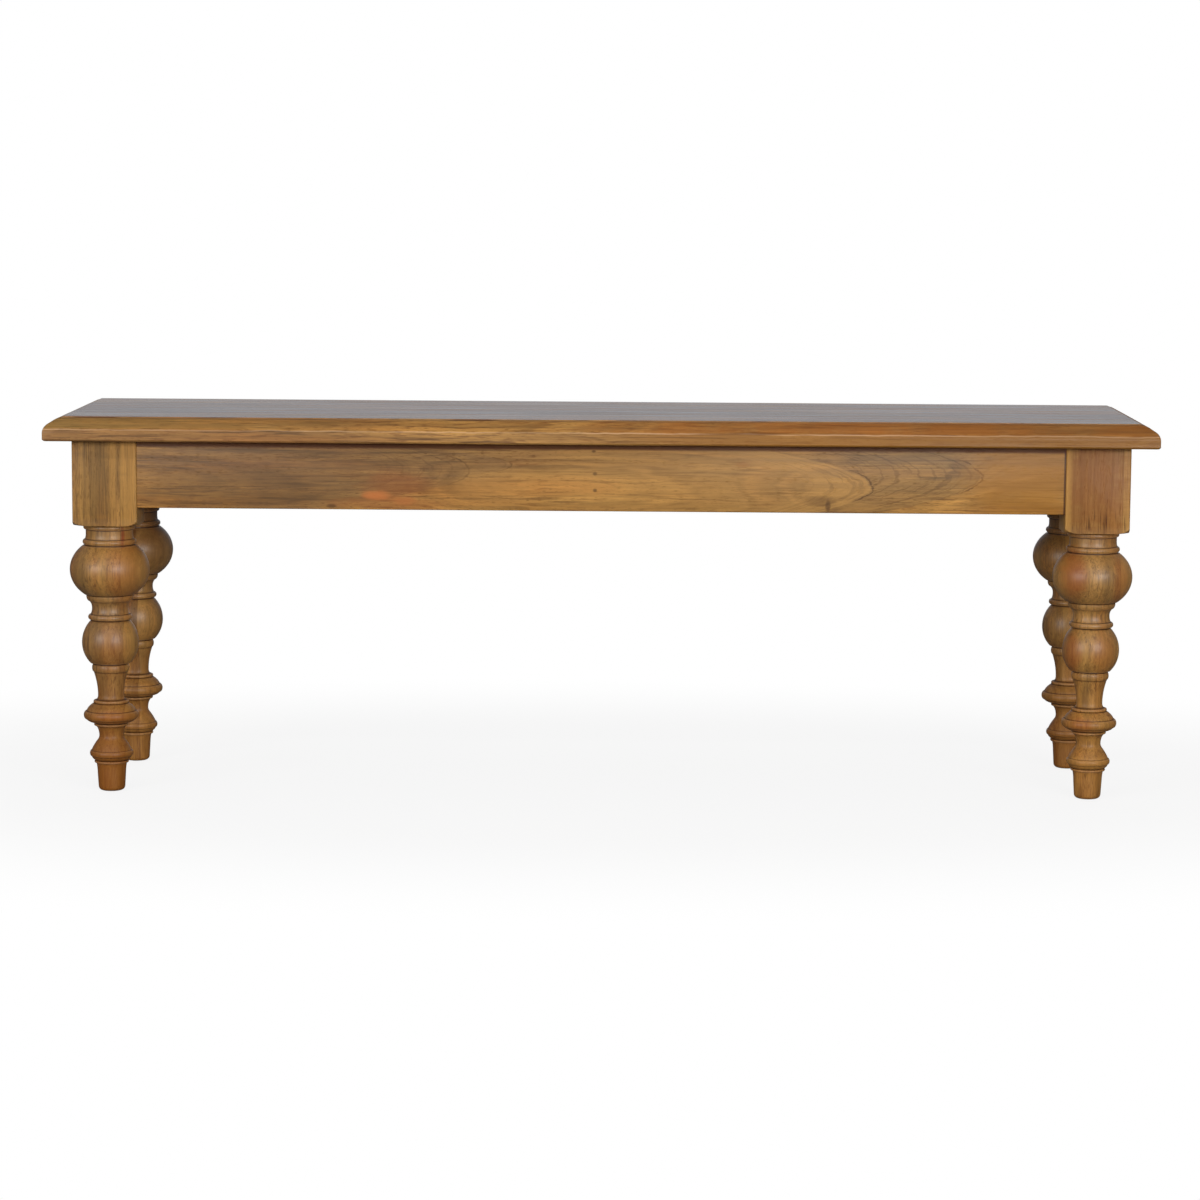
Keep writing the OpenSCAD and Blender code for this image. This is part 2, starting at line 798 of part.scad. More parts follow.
module seat_screws() {
    color("goldenrod") {
        in_all_quarters()
            at_cleat_seat_screws()
                wood_screw(seat_screw_length);
        at_rail_screws()
            wood_screw(seat_screw_length);
    }
}

seat_board(0);  // seat_board_front
seat_board(1);  // seat_board_front_middle
seat_board(2);  // seat_board_rear_middle
seat_board(3);  // seat_board_rear
leg(-1, -1);  // leg_front_left
leg(1, -1);  // leg_front_right
leg(-1, 1);  // leg_rear_left
leg(1, 1);  // leg_rear_right
long_apron(-1);  // apron_front
long_apron(1);  // apron_rear
short_apron(-1);  // apron_left
short_apron(1);  // apron_right
corner_brace(-1, -1);  // corner_brace_front_left
corner_brace(1, -1);  // corner_brace_front_right
corner_brace(-1, 1);  // corner_brace_rear_left
corner_brace(1, 1);  // corner_brace_rear_right
seat_cleat(-1, -1);  // seat_cleat_front_left
seat_cleat(1, -1);  // seat_cleat_front_right
seat_cleat(-1, 1);  // seat_cleat_rear_left
seat_cleat(1, 1);  // seat_cleat_rear_right
centre_rail();
hanger_bolts();
bolt_washers();
bolt_nuts();
brace_screws();
cleat_screws();
seat_screws();
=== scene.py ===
# %% [markdown]
# # A dining bench in solid wood
# The bench has a seat of four boards glued edge to edge, four turned legs, an apron frame,
# and the braces, cleats, bolts and screws that hold it together underneath.
# Its sizes come from the CAD model, which is loaded first and stays where it is.
# Each visible piece is then modelled finer in the same place and given a wood or metal finish.

import math

import bpy
import numpy as np
from mathutils import Matrix, Vector


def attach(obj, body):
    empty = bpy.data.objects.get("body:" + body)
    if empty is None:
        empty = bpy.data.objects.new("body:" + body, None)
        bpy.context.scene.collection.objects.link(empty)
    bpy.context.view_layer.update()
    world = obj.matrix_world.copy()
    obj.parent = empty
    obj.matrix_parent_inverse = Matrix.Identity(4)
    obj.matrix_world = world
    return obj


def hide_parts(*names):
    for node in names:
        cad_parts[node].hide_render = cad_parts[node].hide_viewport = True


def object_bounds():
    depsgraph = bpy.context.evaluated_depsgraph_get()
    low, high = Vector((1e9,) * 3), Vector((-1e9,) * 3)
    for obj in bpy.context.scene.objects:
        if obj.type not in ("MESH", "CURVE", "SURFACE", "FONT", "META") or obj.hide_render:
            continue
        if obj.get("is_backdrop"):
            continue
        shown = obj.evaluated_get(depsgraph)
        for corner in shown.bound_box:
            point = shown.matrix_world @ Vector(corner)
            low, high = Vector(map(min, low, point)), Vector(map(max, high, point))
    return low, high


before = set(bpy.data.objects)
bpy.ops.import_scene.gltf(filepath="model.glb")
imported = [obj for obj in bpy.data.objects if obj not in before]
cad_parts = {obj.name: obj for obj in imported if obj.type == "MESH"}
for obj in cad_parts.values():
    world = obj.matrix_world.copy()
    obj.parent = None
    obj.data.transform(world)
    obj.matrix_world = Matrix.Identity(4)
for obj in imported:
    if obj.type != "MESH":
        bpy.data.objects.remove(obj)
cad_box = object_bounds()
MM = 0.001
print("CAD box", [tuple(round(v, 4) for v in corner) for corner in cad_box])

# %% [markdown]
# ## The camera
# The photographer stood well back with a long lens, a little above the seat, and looked
# almost straight at the front. The place, the turn and the lens below were found by laying
# the bench's corners, blocks and feet over the photograph.

# %% Set up the camera
PICTURE_WIDTH = 1200
SENSOR_WIDTH = 36.0
FOCAL_PIXELS = 3586.4
CAMERA_PLACE = Vector((0.0473, -4.3263, 0.7633))
YAW_RIGHT, PITCH_DOWN, ROLL = -0.01123, 0.12505, 0.00656


def rotation(angle, axis):
    return Matrix.Rotation(angle, 4, axis)


bpy.ops.object.camera_add(location=CAMERA_PLACE)
camera = bpy.context.object
aimed = rotation(-YAW_RIGHT, "Z") @ rotation(math.pi / 2 - PITCH_DOWN, "X") @ rotation(ROLL, "Z")
camera.rotation_euler = aimed.to_euler()
camera.data.sensor_width = SENSOR_WIDTH
camera.data.lens = SENSOR_WIDTH * FOCAL_PIXELS / PICTURE_WIDTH
bpy.context.scene.camera = camera
bpy.context.scene.view_settings.view_transform = "Standard"
print("lens", round(camera.data.lens, 1), "mm")

# %% [markdown]
# ## Writing materials as sums
# Wood needs many small steps of arithmetic: distances, waves, masks. Each step is a node.
# To keep that readable, a Wire stands for a node's output, and Python's own signs add the
# Math nodes: `1 - mask * 0.5` is two nodes and the links between them.
# Nodes is a tree that grows by them, with one method that adds any other node, and a Finish is
# such a tree that makes one material.


# %% A wire
class Wire:
    """One output of a node."""

    def __init__(self, nodes, socket):
        self.nodes, self.socket = nodes, socket

    def math(self, operation, *values):
        return self.nodes.add("ShaderNodeMath", {"operation": operation}, dict(enumerate(values)))

    def sine(self):
        return self.math("SINE", self)

    def exponent(self):
        return self.math("EXPONENT", self)

    def least(self, other):
        return self.math("MINIMUM", self, other)

    def root(self):
        return self.math("SQRT", self)

    def swing(self, size):
        """Noise made to swing round zero."""
        return (self - 0.5) * size

    def out(self, name):
        return Wire(self.nodes, self.socket.node.outputs[name])

    def __add__(self, other):
        return self.math("ADD", self, other)

    def __sub__(self, other):
        return self.math("SUBTRACT", self, other)

    def __rsub__(self, other):
        return self.math("SUBTRACT", other, self)

    def __mul__(self, other):
        return self.math("MULTIPLY", self, other)

    def __truediv__(self, other):
        return self.math("DIVIDE", self, other)

    def __rtruediv__(self, other):
        return self.math("DIVIDE", other, self)

    def __gt__(self, other):
        return self.math("GREATER_THAN", self, other)

    def __lt__(self, other):
        return self.math("LESS_THAN", self, other)

    def __abs__(self):
        return self.math("ABSOLUTE", self)

    __radd__ = __add__
    __rmul__ = __mul__


print("a wire knows", [m for m in vars(Wire) if not m.startswith("_")], "and Python's signs")


# %% Node trees and materials that grow node by node
class Nodes:
    """A node tree that grows node by node."""

    def __init__(self, tree):
        self.tree = tree

    def add(self, kind, settings=None, inputs=None, out=0):
        node = self.tree.nodes.new(kind)
        for name, value in (settings or {}).items():
            setattr(node, name, value)
        self.link(node, inputs or {})
        return Wire(self, node.outputs[out])

    def link(self, node, inputs):
        for name, value in inputs.items():
            if isinstance(value, Wire):
                self.tree.links.new(value.socket, node.inputs[name])
            else:
                node.inputs[name].default_value = value

    def place(self):
        """Where a point lies on the bench, as three wires in metres."""
        spot = self.add("ShaderNodeTexCoord", out="Object")
        split = self.add("ShaderNodeSeparateXYZ", inputs={0: spot})
        return split.out("X"), split.out("Y"), split.out("Z")

    def noise(self, a, b, c, detail=1.0, roughness=0.5, out=0):
        """Smooth random values round 0.5 at a place given by three wires or numbers."""
        spot = self.add("ShaderNodeCombineXYZ", inputs={0: a, 1: b, 2: c})
        sockets = {"Vector": spot, "Scale": 1.0, "Detail": detail, "Roughness": roughness}
        return self.add("ShaderNodeTexNoise", inputs=sockets, out=out)

    def ramp(self, value, low, high):
        """0 below low, 1 above high, and a soft rise between them."""
        sockets = {"Value": value, "From Min": low, "From Max": high}
        return self.add("ShaderNodeMapRange", {"interpolation_type": "SMOOTHSTEP"}, sockets)

    def mix(self, factor, first, second):
        """A colour between two colours."""
        return self.add("ShaderNodeMix", {"data_type": "RGBA"}, {0: factor, 6: first, 7: second}, out=2)

    def stain(self, tone, *layers):
        """Lays colours over a tone, one after another, each by its own share."""
        for share, other in layers:
            tone = self.mix(share, tone, other)
        return tone

    def shade(self, colour, factor):
        """A colour made lighter or darker."""
        return self.add("ShaderNodeVectorMath", {"operation": "SCALE"}, {0: colour, "Scale": factor})

    def bump(self, height, depth):
        """Fine relief: height runs from 0 to 1 and stands for the given depth in metres."""
        return self.add("ShaderNodeBump", inputs={"Height": height, "Distance": depth, "Strength": 1.0})


class Finish(Nodes):
    """A material that starts as one Principled surface."""

    def __init__(self, name, **uniform):
        self.material = bpy.data.materials.new(name)
        self.material.use_nodes = True
        super().__init__(self.material.node_tree)
        self.surface = self.tree.nodes["Principled BSDF"]
        for socket, value in uniform.items():
            self.surface.inputs[socket.replace("_", " ")].default_value = value


def colour(red, green, blue):
    """A colour as seen on a screen, 0 to 255, turned into light for the shader."""
    def light(v):
        v /= 255
        return v / 12.92 if v <= 0.04045 else ((v + 0.055) / 1.055) ** 2.4

    return (light(red), light(green), light(blue), 1.0)


print("a finish grows by", [m for m in vars(Nodes) if not m.startswith("_")])

# %% [markdown]
# ## The floor and the light
# The bench was cut out of its photograph and set on white, so the floor is plain white for the
# camera and still catches a soft shadow; away from the bench it fades to pure white.
# The shadow under the seat's lip is short, so the main light came from the front: two broad
# boxes left and right of the camera and a little above it, the right one brighter; the dark line
# under the lip is deepened with painted shadow. A narrow strip high above them lights the thin
# bright line along the moulding, which is also painted in as a highlight, and a weak box hangs
# over the bench. The seat's top is seen almost edge on, where varnish mirrors the studio behind
# it, which was grey and not white.

# %% Lay the floor
FLOOR_SIZE = 40.0
FLOOR_GAP = 0.0004
FLOOR_WHITE_SHARE = 0.86
FLOOR_FADE = (0.7, 1.7)
FLOOR_SEEN, FLOOR_BOUNCE = 0.9, 0.1

bpy.ops.mesh.primitive_plane_add(size=FLOOR_SIZE, location=(0, 0, -FLOOR_GAP))
floor = bpy.context.object
floor.name = "floor"
floor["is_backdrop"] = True

paint = Finish("pale_floor", Roughness=0.9)
rays = paint.add("ShaderNodeLightPath", out="Is Camera Ray")
seen_tone, bounce_tone = (FLOOR_SEEN,) * 3 + (1,), (FLOOR_BOUNCE,) * 3 + (1,)
paint.link(paint.surface, {"Base Color": paint.mix(rays, bounce_tone, seen_tone)})
x, y, z = paint.place()
far = paint.ramp((x * x + y * y * 4).root(), *FLOOR_FADE)
white = paint.add("ShaderNodeEmission", inputs={"Color": (1, 1, 1, 1), "Strength": 1.0})
share = rays * (far * (1 - FLOOR_WHITE_SHARE) + FLOOR_WHITE_SHARE)
plain = Wire(paint, paint.surface.outputs[0])
seen = paint.add("ShaderNodeMixShader", inputs={0: share, 1: plain, 2: white})
from_below = paint.add("ShaderNodeNewGeometry", out="Backfacing")
clear = paint.add("ShaderNodeBsdfTransparent")
one_sided = paint.add("ShaderNodeMixShader", inputs={0: from_below, 1: seen, 2: clear})
paint.link(paint.tree.nodes["Material Output"], {"Surface": one_sided})
floor.data.materials.append(paint.material)
print("floor", FLOOR_SIZE, "m square")

# %% Hang the lamps and colour the studio
SOFT_BOXES = {
    "left_box": ((-2.8, -3.6, 1.1), (2.4, 1.0), 62),
    "front_box": ((1.9, -4.4, 1.15), (2.4, 1.0), 95),
    "high_strip": ((0, -4.0, 3.4), (7.0, 0.25), 34),
    "top_box": ((0, -0.2, 3.4), (3.0, 2.0), 8),
}
STUDIO_FILL, GLOSSY_CUT = 0.28, 0.7
STUDIO_MIRRORED = 0.37
STUDIO_WALL = (0.91, 0.98, 1.08, 1)
MIRRORED_HEIGHT, MIRRORED_WIDTH = (0.18, 0.45), (0.86, 0.96)
WALL_FILL, WALL_WIDTH = 0.9, (0.45, 1.0)

for name, (spot, size, watts) in SOFT_BOXES.items():
    bpy.ops.object.light_add(type="AREA", location=spot)
    box = bpy.context.object
    box.name = name
    box.data.shape = "RECTANGLE"
    box.data.size, box.data.size_y = size
    box.data.energy = watts
    box.rotation_euler = (Vector((0, 0, 0.3)) - Vector(spot)).to_track_quat("-Z", "Y").to_euler()
    box.visible_camera = False

world = bpy.data.worlds.new("studio")
world.use_nodes = True
bpy.context.scene.world = world
studio = Nodes(world.node_tree)
path = studio.add("ShaderNodeLightPath", out="Is Camera Ray")
towards = studio.add("ShaderNodeTexCoord", out="Generated")
towards = studio.add("ShaderNodeSeparateXYZ", inputs={0: towards})
behind = 1 - studio.ramp(towards.out("Z"), *MIRRORED_HEIGHT)
behind = behind * studio.ramp(towards.out("Y"), *MIRRORED_WIDTH)
mirrored = path.out("Is Glossy Ray") * (behind * STUDIO_MIRRORED - STUDIO_FILL * GLOSSY_CUT)
back_wall = path.out("Is Diffuse Ray") * studio.ramp(towards.out("Y"), *WALL_WIDTH) * WALL_FILL
strength = path * (1 - STUDIO_FILL) + mirrored + back_wall + STUDIO_FILL
tint = studio.mix(path.out("Is Glossy Ray"), (1, 1, 1, 1), STUDIO_WALL)
studio.link(world.node_tree.nodes["Background"], {"Color": tint, "Strength": strength})
print("lamps", list(SOFT_BOXES))

# %% [markdown]
# ## Wood
# A board is a slice out of a trunk. Its year rings are tubes round the pith, and where the flat
# face cuts them they show as long arches or straight lines; at the ends they show as arcs.
# So the pattern is not painted on: the distance from a slightly bent pith is worked out at every
# point of the bench, and lines and bands are drawn at chosen distances. That way the end of a
# board and the round of a turned ball show the right figure by themselves.
# Over that go fibres, pores and streaks, which are noise drawn out along the grain.

# %% Layers of the grain
# Layers of noise: how fast each changes along and across the grain, its detail, its roughness
# and, for a mask, the two values between which it rises.
GRAIN = {
    "waves": (6, 30, 3, 0.6),
    "feather": (9, 260, 2, 0.65),
    "fades": (5, 22, 1, 0.5, 0.42, 0.62),
    "fibre": (11, 560, 3, 0.7),
    "thin": (14, 380, 2, 0.6, 0.53, 0.66),
    "streak": (4, 120, 2, 0.5),
    "ripple": (30, 9, 1, 0.5),
    "patch": (2.7, 8, 2, 0.5, 0.4, 0.64),
    "warm": (3.4, 34, 2, 0.5, 0.45, 0.7),
    "fleck": (48, 330, 2, 0.6, 0.53, 0.68),
    "pore": (150, 1300, 0, 0.5, 0.62, 0.72),
}
# How far layers swing the brightness round its middle.
MIDDLE = 1.04
SHADES = {"fibre": 0.9, "feather": 0.7, "ripple": 0.16}
PITH_BOW, RING_WAVES, RING_FEATHER = 0.03, 1.4, 0.5
WARM_SHARE, THIN_SHARE = 0.3, 1.1
# What a board looks like where its own look doesn't say otherwise.
PLAIN_LOOK = {
    "lean": (0.03, 0.02),
    "ring": 0.006,
    "eyes": (),
    "patchy": 0.6,
    "banded": 0.45,
    "veined": 0.4,
    "flecked": 0.3,
    "lined": 0.7,
    "streaky": 0.8,
    "porous": 0.4,
}


def across_grain(grain, x, y, z):
    """Along the grain, and the two directions across it."""
    return {"X": (x, y, z), "Y": (y, x, z)}[grain]


print("layers of the grain:", list(GRAIN))


# %% A recipe for wood
def wood(f, along, u, v, look):
    """Colour, gloss and relief of wood at a point: along the grain, and across it by u and v."""
    look = {**PLAIN_LOOK, **look}
    seed = look["seed"]
    wander = f.noise(along * 2.1 + seed, u * 5, v * 5, detail=2, out=1)
    bend = f.add("ShaderNodeSeparateColor", inputs={0: wander})
    (pith_u, pith_v), (lean_u, lean_v) = look["pith"], look["lean"]
    du = u - pith_u - along * lean_u + bend.out("Red").swing(PITH_BOW)
    dv = v - pith_v - along * lean_v + bend.out("Green").swing(PITH_BOW)
    layer = {}
    for name, (pace, fineness, detail, roughness, *rise) in GRAIN.items():
        field = f.noise(along * pace + seed, u * fineness, v * fineness, detail, roughness)
        layer[name] = f.ramp(field, *rise) if rise else field
    fibre, streak, feather = layer["fibre"], layer["streak"], layer["feather"]
    pore = layer["pore"] * f.ramp(streak, 0.35, 0.6)

    age = (du * du + dv * dv).root() / look["ring"] + layer["waves"].swing(RING_WAVES)
    for spot, (left, right), high, rings in look["eyes"]:
        away = along - spot[0]
        away = (away * (1 / right + 1 / left) + abs(away) * (1 / right - 1 / left)) * 0.5
        up = (v - spot[1]) / high
        age = age + (0 - away * away - up * up).exponent() * rings
    age = age + feather.swing(RING_FEATHER)
    bands = f.ramp(f.noise(age * 0.55, along * 1.2 + seed, seed, detail=2, roughness=0.6), 0.42, 0.66)
    lines = f.noise(age * 2.1, along * 2 + seed, seed + 4, detail=2)
    vein = f.noise(age * 0.62, along * 0.7 + seed, seed + 9, detail=0)
    vein = 1 - f.ramp(abs(vein - 0.5), 0.0, 0.05)

    tone = f.stain(
        look["light"],
        (layer["patch"] * look["patchy"], look["dull"]),
        (bands * look["banded"], look["dark"]),
        (vein * layer["fades"] * look["veined"], look["vein"]),
        (layer["warm"] * WARM_SHARE, look["warm"]),
        (layer["fleck"] * look["flecked"], look["dark"]),
        (layer["thin"] * look["flecked"] * THIN_SHARE, look["vein"]),
    )
    level = lines.swing(look["lined"]) + MIDDLE
    for name, size in {**SHADES, "streak": look["streaky"]}.items():
        level = level + layer[name].swing(size)
    return {
        "tone": f.mix(pore * look["porous"], f.shade(tone, level), look["vein"]),
        "gloss": pore * 0.22 + fibre.swing(0.16) + streak.swing(0.1),
        "relief": fibre * 0.35 + lines * 0.25 - pore * 0.6,
        "streak": streak,
        "feather": feather,
    }


def feed(f, made, roughness=0.46, depth=0.12 * MM):
    """Feeds the surface of a finish with a made tone, gloss and relief."""
    relief = f.bump(made["relief"], depth)
    sockets = {"Base Color": made["tone"], "Roughness": made["gloss"] + roughness, "Normal": relief}
    f.link(f.surface, sockets)
    return f.material


print("a board's look has", list(PLAIN_LOOK))

# %% [markdown]
# The bench is honey brown with duller, darker and warmer streaks. The seat has a clear varnish
# that mirrors, the turned parts shine a little because they were polished on the lathe, and the
# rest is satin. Stains and rubbed spots are soft marks laid over the wood's own tone, and so are
# the painted shade and painted highlights.

# %% Tones and varnish of this bench
HONEY = {
    "light": colour(184, 135, 68),
    "dull": colour(142, 106, 64),
    "dark": colour(118, 72, 28),
    "vein": colour(60, 34, 14),
    "warm": colour(172, 98, 34),
}
VARNISH = {"Coat_Weight": 0.04, "Coat_Roughness": 0.25, "Specular_IOR_Level": 0.28}
LATHE_POLISH = {"Coat_Weight": 0.9, "Coat_Roughness": 0.4, "Specular_IOR_Level": 0.28}
TOP_VARNISH = {"Coat_Weight": 1.0, "Coat_Roughness": 0.14, "Coat_IOR": 1.6, "Specular_IOR_Level": 0.28}

# The dark stain colour also stands for painted shade in hollows, creases and under the seat's lip; the lip
# colour is painted shadow; the rubbed colour also gives a painted sheen.
STAIN_AND_SHADE, PAINTED_SHADOW_TONE, RUBBED_AND_SHEEN = colour(62, 33, 14), colour(92, 44, 6), colour(206, 158, 112)


def spotted(f, tone, x, z, marks):
    """Adds soft marks: centre and half size in millimetres, a colour and its share."""
    for mark_x, mark_z, wide, high, other, share in marks:
        away, up = (x - mark_x * MM) / (wide * MM), (z - mark_z * MM) / (high * MM)
        wobble = f.noise(x * 60, z * 150, mark_x * MM, detail=3, roughness=0.6) * 1.1 - 0.2
        near = 1 - f.ramp(away * away + up * up + wobble, 0.3, 1.6)
        tone = f.mix(near * share, tone, other)
    return tone


def board_finish(name, grain, **look):
    """One plain board of the bench's own wood, oiled and varnished to a satin gloss."""
    f = Finish(name, **VARNISH)
    return feed(f, wood(f, *across_grain(grain, *f.place()), {**HONEY, **look}))


print("tones of the bench:", list(HONEY))

# %% [markdown]
# ## The seat
# The seat is four boards glued edge to edge. A moulding runs round all four sides: an upright
# band, a round, a sloping bevel and a little step up to the flat top. The glued blank is
# moulded first and so is the model: a plane the size of the underside is drawn up through the
# outline of the moulding, one extrusion after another, and the corners come out mitred.
# Only then is the blank cut along its three glue lines.

# %% Sizes of the seat
LENGTH, DEPTH, HEIGHT = 1300 * MM, 350 * MM, 450 * MM
SEAT_THICKNESS = 28 * MM
UNDERSIDE = HEIGHT - SEAT_THICKNESS
MOULDING_WIDTH, MOULDING_HEIGHT, ROUND_R = 21.5 * MM, 18.6 * MM, 13 * MM
BEVEL_ANGLE = math.radians(33)
STEP_H, SEAT_ARRIS_R = 0.6 * MM, 3.5 * MM
HAIR = 0.001 * MM


def arc(centre, r, start, end, steps):
    """Points along an arc, given in degrees."""
    angles = np.radians(np.linspace(start, end, steps + 1))
    return [(centre[0] + r * math.cos(a), centre[1] + r * math.sin(a)) for a in angles]


def curve(a, b, c, steps):
    """Points along a curve from a to c that leaves and arrives towards b."""
    a, b, c = map(np.array, (a, b, c))
    return [tuple((1 - t) ** 2 * a + 2 * t * (1 - t) * b + t * t * c) for t in np.linspace(0, 1, steps + 1)]


def between(a, b, share):
    return a + (b - a) * share


def seat_edge():
    """The moulding: distance in from the edge, and height above the underside."""
    band_top = SEAT_THICKNESS - MOULDING_HEIGHT
    bevel_start = (ROUND_R * (1 - math.sin(BEVEL_ANGLE)), band_top + ROUND_R * math.cos(BEVEL_ANGLE))
    bevel_x = MOULDING_WIDTH * 0.6
    bevel_end = (bevel_x, bevel_start[1] + (bevel_x - bevel_start[0]) * math.tan(BEVEL_ANGLE))
    step_foot = (MOULDING_WIDTH, SEAT_THICKNESS - STEP_H)
    lean = (between(bevel_x, MOULDING_WIDTH, 0.45), step_foot[1] - STEP_H / 2)
    points = arc((SEAT_ARRIS_R, SEAT_ARRIS_R), SEAT_ARRIS_R, 270, 180, 5)
    points += arc((ROUND_R, band_top), ROUND_R, 180, 120, 10)
    points += curve(bevel_end, lean, step_foot, 6)
    return points + [(MOULDING_WIDTH, SEAT_THICKNESS)]


print("the moulding has", len(seat_edge()), "points")

# %% [markdown]
# Blender's modelling operators act on all that is selected. So each step starts with nothing
# selected, and then picks its edges or faces in code, by their place or direction. A few short
# helpers do that, so that the pieces themselves read as a list of workshop steps.


# %% Helpers for choosing and for edit mode
def mode(name):
    bpy.ops.object.mode_set(mode=name)


def nothing_selected():
    if bpy.context.object and bpy.context.object.mode != "OBJECT":
        mode("OBJECT")
    bpy.ops.object.select_all(action="DESELECT")


def only(piece):
    nothing_selected()
    piece.select_set(True)
    bpy.context.view_layer.objects.active = piece


def select_all():
    bpy.ops.mesh.select_all(action="SELECT")


def pick(piece, kind, test):
    """Goes to edit mode and selects the edges or faces that pass the test."""
    mode("EDIT")
    bpy.ops.mesh.select_mode(type=kind)
    bpy.ops.mesh.select_all(action="DESELECT")
    mode("OBJECT")
    for e in {"EDGE": piece.data.edges, "FACE": piece.data.polygons}[kind]:
        e.select = bool(test(e))
    mode("EDIT")


def ends(piece, edge):
    return [piece.data.vertices[i].co for i in edge.vertices]


def merge_doubles():
    select_all()
    bpy.ops.mesh.remove_doubles(threshold=HAIR)


def close_up():
    """Merges doubled points, turns all faces outwards and leaves edit mode."""
    merge_doubles()
    bpy.ops.mesh.normals_make_consistent(inside=False)
    mode("OBJECT")


def slice_off(spot, away):
    """In edit mode, cuts off what lies beyond a plane, and closes the cut."""
    select_all()
    bpy.ops.mesh.bisect(plane_co=spot, plane_no=away, use_fill=True, clear_outer=True)


print("points closer than", HAIR, "m are merged")

# %% [markdown]
# Whole pieces are cut, joined and eased by modifiers. Each is applied at once, so that the next
# step works on the real mesh. What repeats is modelled once and copied.


# %% Helpers for whole pieces
def cube(size, centre=(0, 0, 0)):
    nothing_selected()
    bpy.ops.mesh.primitive_cube_add(size=1, location=centre)
    bpy.context.object.scale = size
    bpy.ops.object.transform_apply(location=True, scale=True)
    return bpy.context.object


def apply_modifier(piece, kind, **settings):
    only(piece)
    modifier = piece.modifiers.new(kind.lower(), kind)
    for name, value in settings.items():
        setattr(modifier, name, value)
    bpy.ops.object.modifier_apply(modifier=modifier.name)


def ease_edges(piece, width, segments=2, degrees=50):
    """Bevels every edge that is sharper than an angle."""
    limit = {"limit_method": "ANGLE", "angle_limit": math.radians(degrees)}
    apply_modifier(piece, "BEVEL", width=width, segments=segments, **limit)


def cut(piece, tool, operation):
    """Cuts a piece with a tool, joins it to it, or keeps what both share; the tool goes."""
    apply_modifier(piece, "BOOLEAN", object=tool, operation=operation, solver="EXACT")
    bpy.data.objects.remove(tool)


def copied(source, place):
    copy = source.copy()
    copy.data = source.data.copy()
    copy.data.transform(place)
    bpy.context.collection.objects.link(copy)
    return copy


def joined_copies(source, places):
    """One object made of copies of a small part; the part itself goes."""
    copies = [copied(source, place) for place in places]
    bpy.data.objects.remove(source)
    only(copies[0])
    for other in copies[1:]:
        other.select_set(True)
    bpy.ops.object.join()
    return copies[0]


def smooth(piece, degrees=30):
    only(piece)
    bpy.ops.object.shade_smooth_by_angle(angle=math.radians(degrees))


def settle(piece, name, material):
    """Names a finished piece, dresses it, and puts it in the place of its CAD node."""
    piece.name = piece.data.name = name
    piece.data.materials.clear()
    piece.data.materials.append(material)
    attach(piece, "root")
    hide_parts(name)


print("a settled piece has a name, a material and the place of its CAD node")

# %% Draw the seat up through its moulding
edge_points = seat_edge()
inset, rise = edge_points[0]
nothing_selected()
bpy.ops.mesh.primitive_plane_add(size=1, location=(0, 0, 0))
blank = bpy.context.object
mode("EDIT")
select_all()
bpy.ops.transform.resize(value=(LENGTH - 2 * inset, DEPTH - 2 * inset, 1))
bpy.ops.transform.translate(value=(0, 0, UNDERSIDE + rise))
for next_inset, next_rise in edge_points[1:]:
    bpy.ops.mesh.extrude_region_move(TRANSFORM_OT_translate={"value": (0, 0, next_rise - rise)})
    shares = [(side - 2 * next_inset) / (side - 2 * inset) for side in (LENGTH, DEPTH)]
    bpy.ops.transform.resize(value=(*shares, 1), center_override=(0, 0, 0))
    inset, rise = next_inset, next_rise
print("blank:", len(edge_points), "levels")

# %% Ease the mitred corners, and divide the long sides
MITRE_EASE, MITRE_LENGTH = 1.4 * MM, 20 * MM
SIDE_LENGTH = 200 * MM
CUTS_ALONG, CUTS_ACROSS = 80, 22


def on_mitre(co):
    return abs((LENGTH / 2 - abs(co.x)) - (DEPTH / 2 - abs(co.y))) < 10 * HAIR


def is_mitre(edge):
    a, b = ends(blank, edge)
    return on_mitre(a) and on_mitre(b) and (a - b).length < MITRE_LENGTH


def runs_along(edge, axis):
    a, b = ends(blank, edge)
    return abs(a[axis] - b[axis]) > SIDE_LENGTH and abs(a[1 - axis] - b[1 - axis]) < 100 * HAIR


pick(blank, "EDGE", is_mitre)
bpy.ops.mesh.bevel(offset=MITRE_EASE, segments=3, clamp_overlap=True)
for axis, cuts in ((0, CUTS_ALONG), (1, CUTS_ACROSS)):
    pick(blank, "EDGE", lambda e: runs_along(e, axis))
    bpy.ops.mesh.subdivide(number_cuts=cuts)
close_up()
print("blank:", len(blank.data.polygons), "faces")

# %% [markdown]
# The moulding was sanded by hand, so its shine wavers from end to end. The blank's moulded
# edge is pushed in by up to 0.6 mm with a soft cloud pattern.

# %% Sand the moulding by hand
SANDING_DEPTH, SANDING_REACH = 0.6 * MM, 70 * MM

moulded = blank.vertex_groups.new(name="moulded")
for v in blank.data.vertices:
    in_from_edge = min(LENGTH / 2 - abs(v.co.x), DEPTH / 2 - abs(v.co.y))
    level = v.co.z - UNDERSIDE
    if in_from_edge < MOULDING_WIDTH - MM and level > SEAT_ARRIS_R:
        moulded.add([v.index], 1.0, "REPLACE")
clouds = bpy.data.textures.new("sanding", "CLOUDS")
clouds.noise_scale = SANDING_REACH
extent = {"texture_coords": "LOCAL", "vertex_group": "moulded"}
apply_modifier(blank, "DISPLACE", texture=clouds, strength=SANDING_DEPTH, mid_level=1.0, **extent)
print("sanded", sum(1 for v in blank.data.vertices if v.groups), "points")
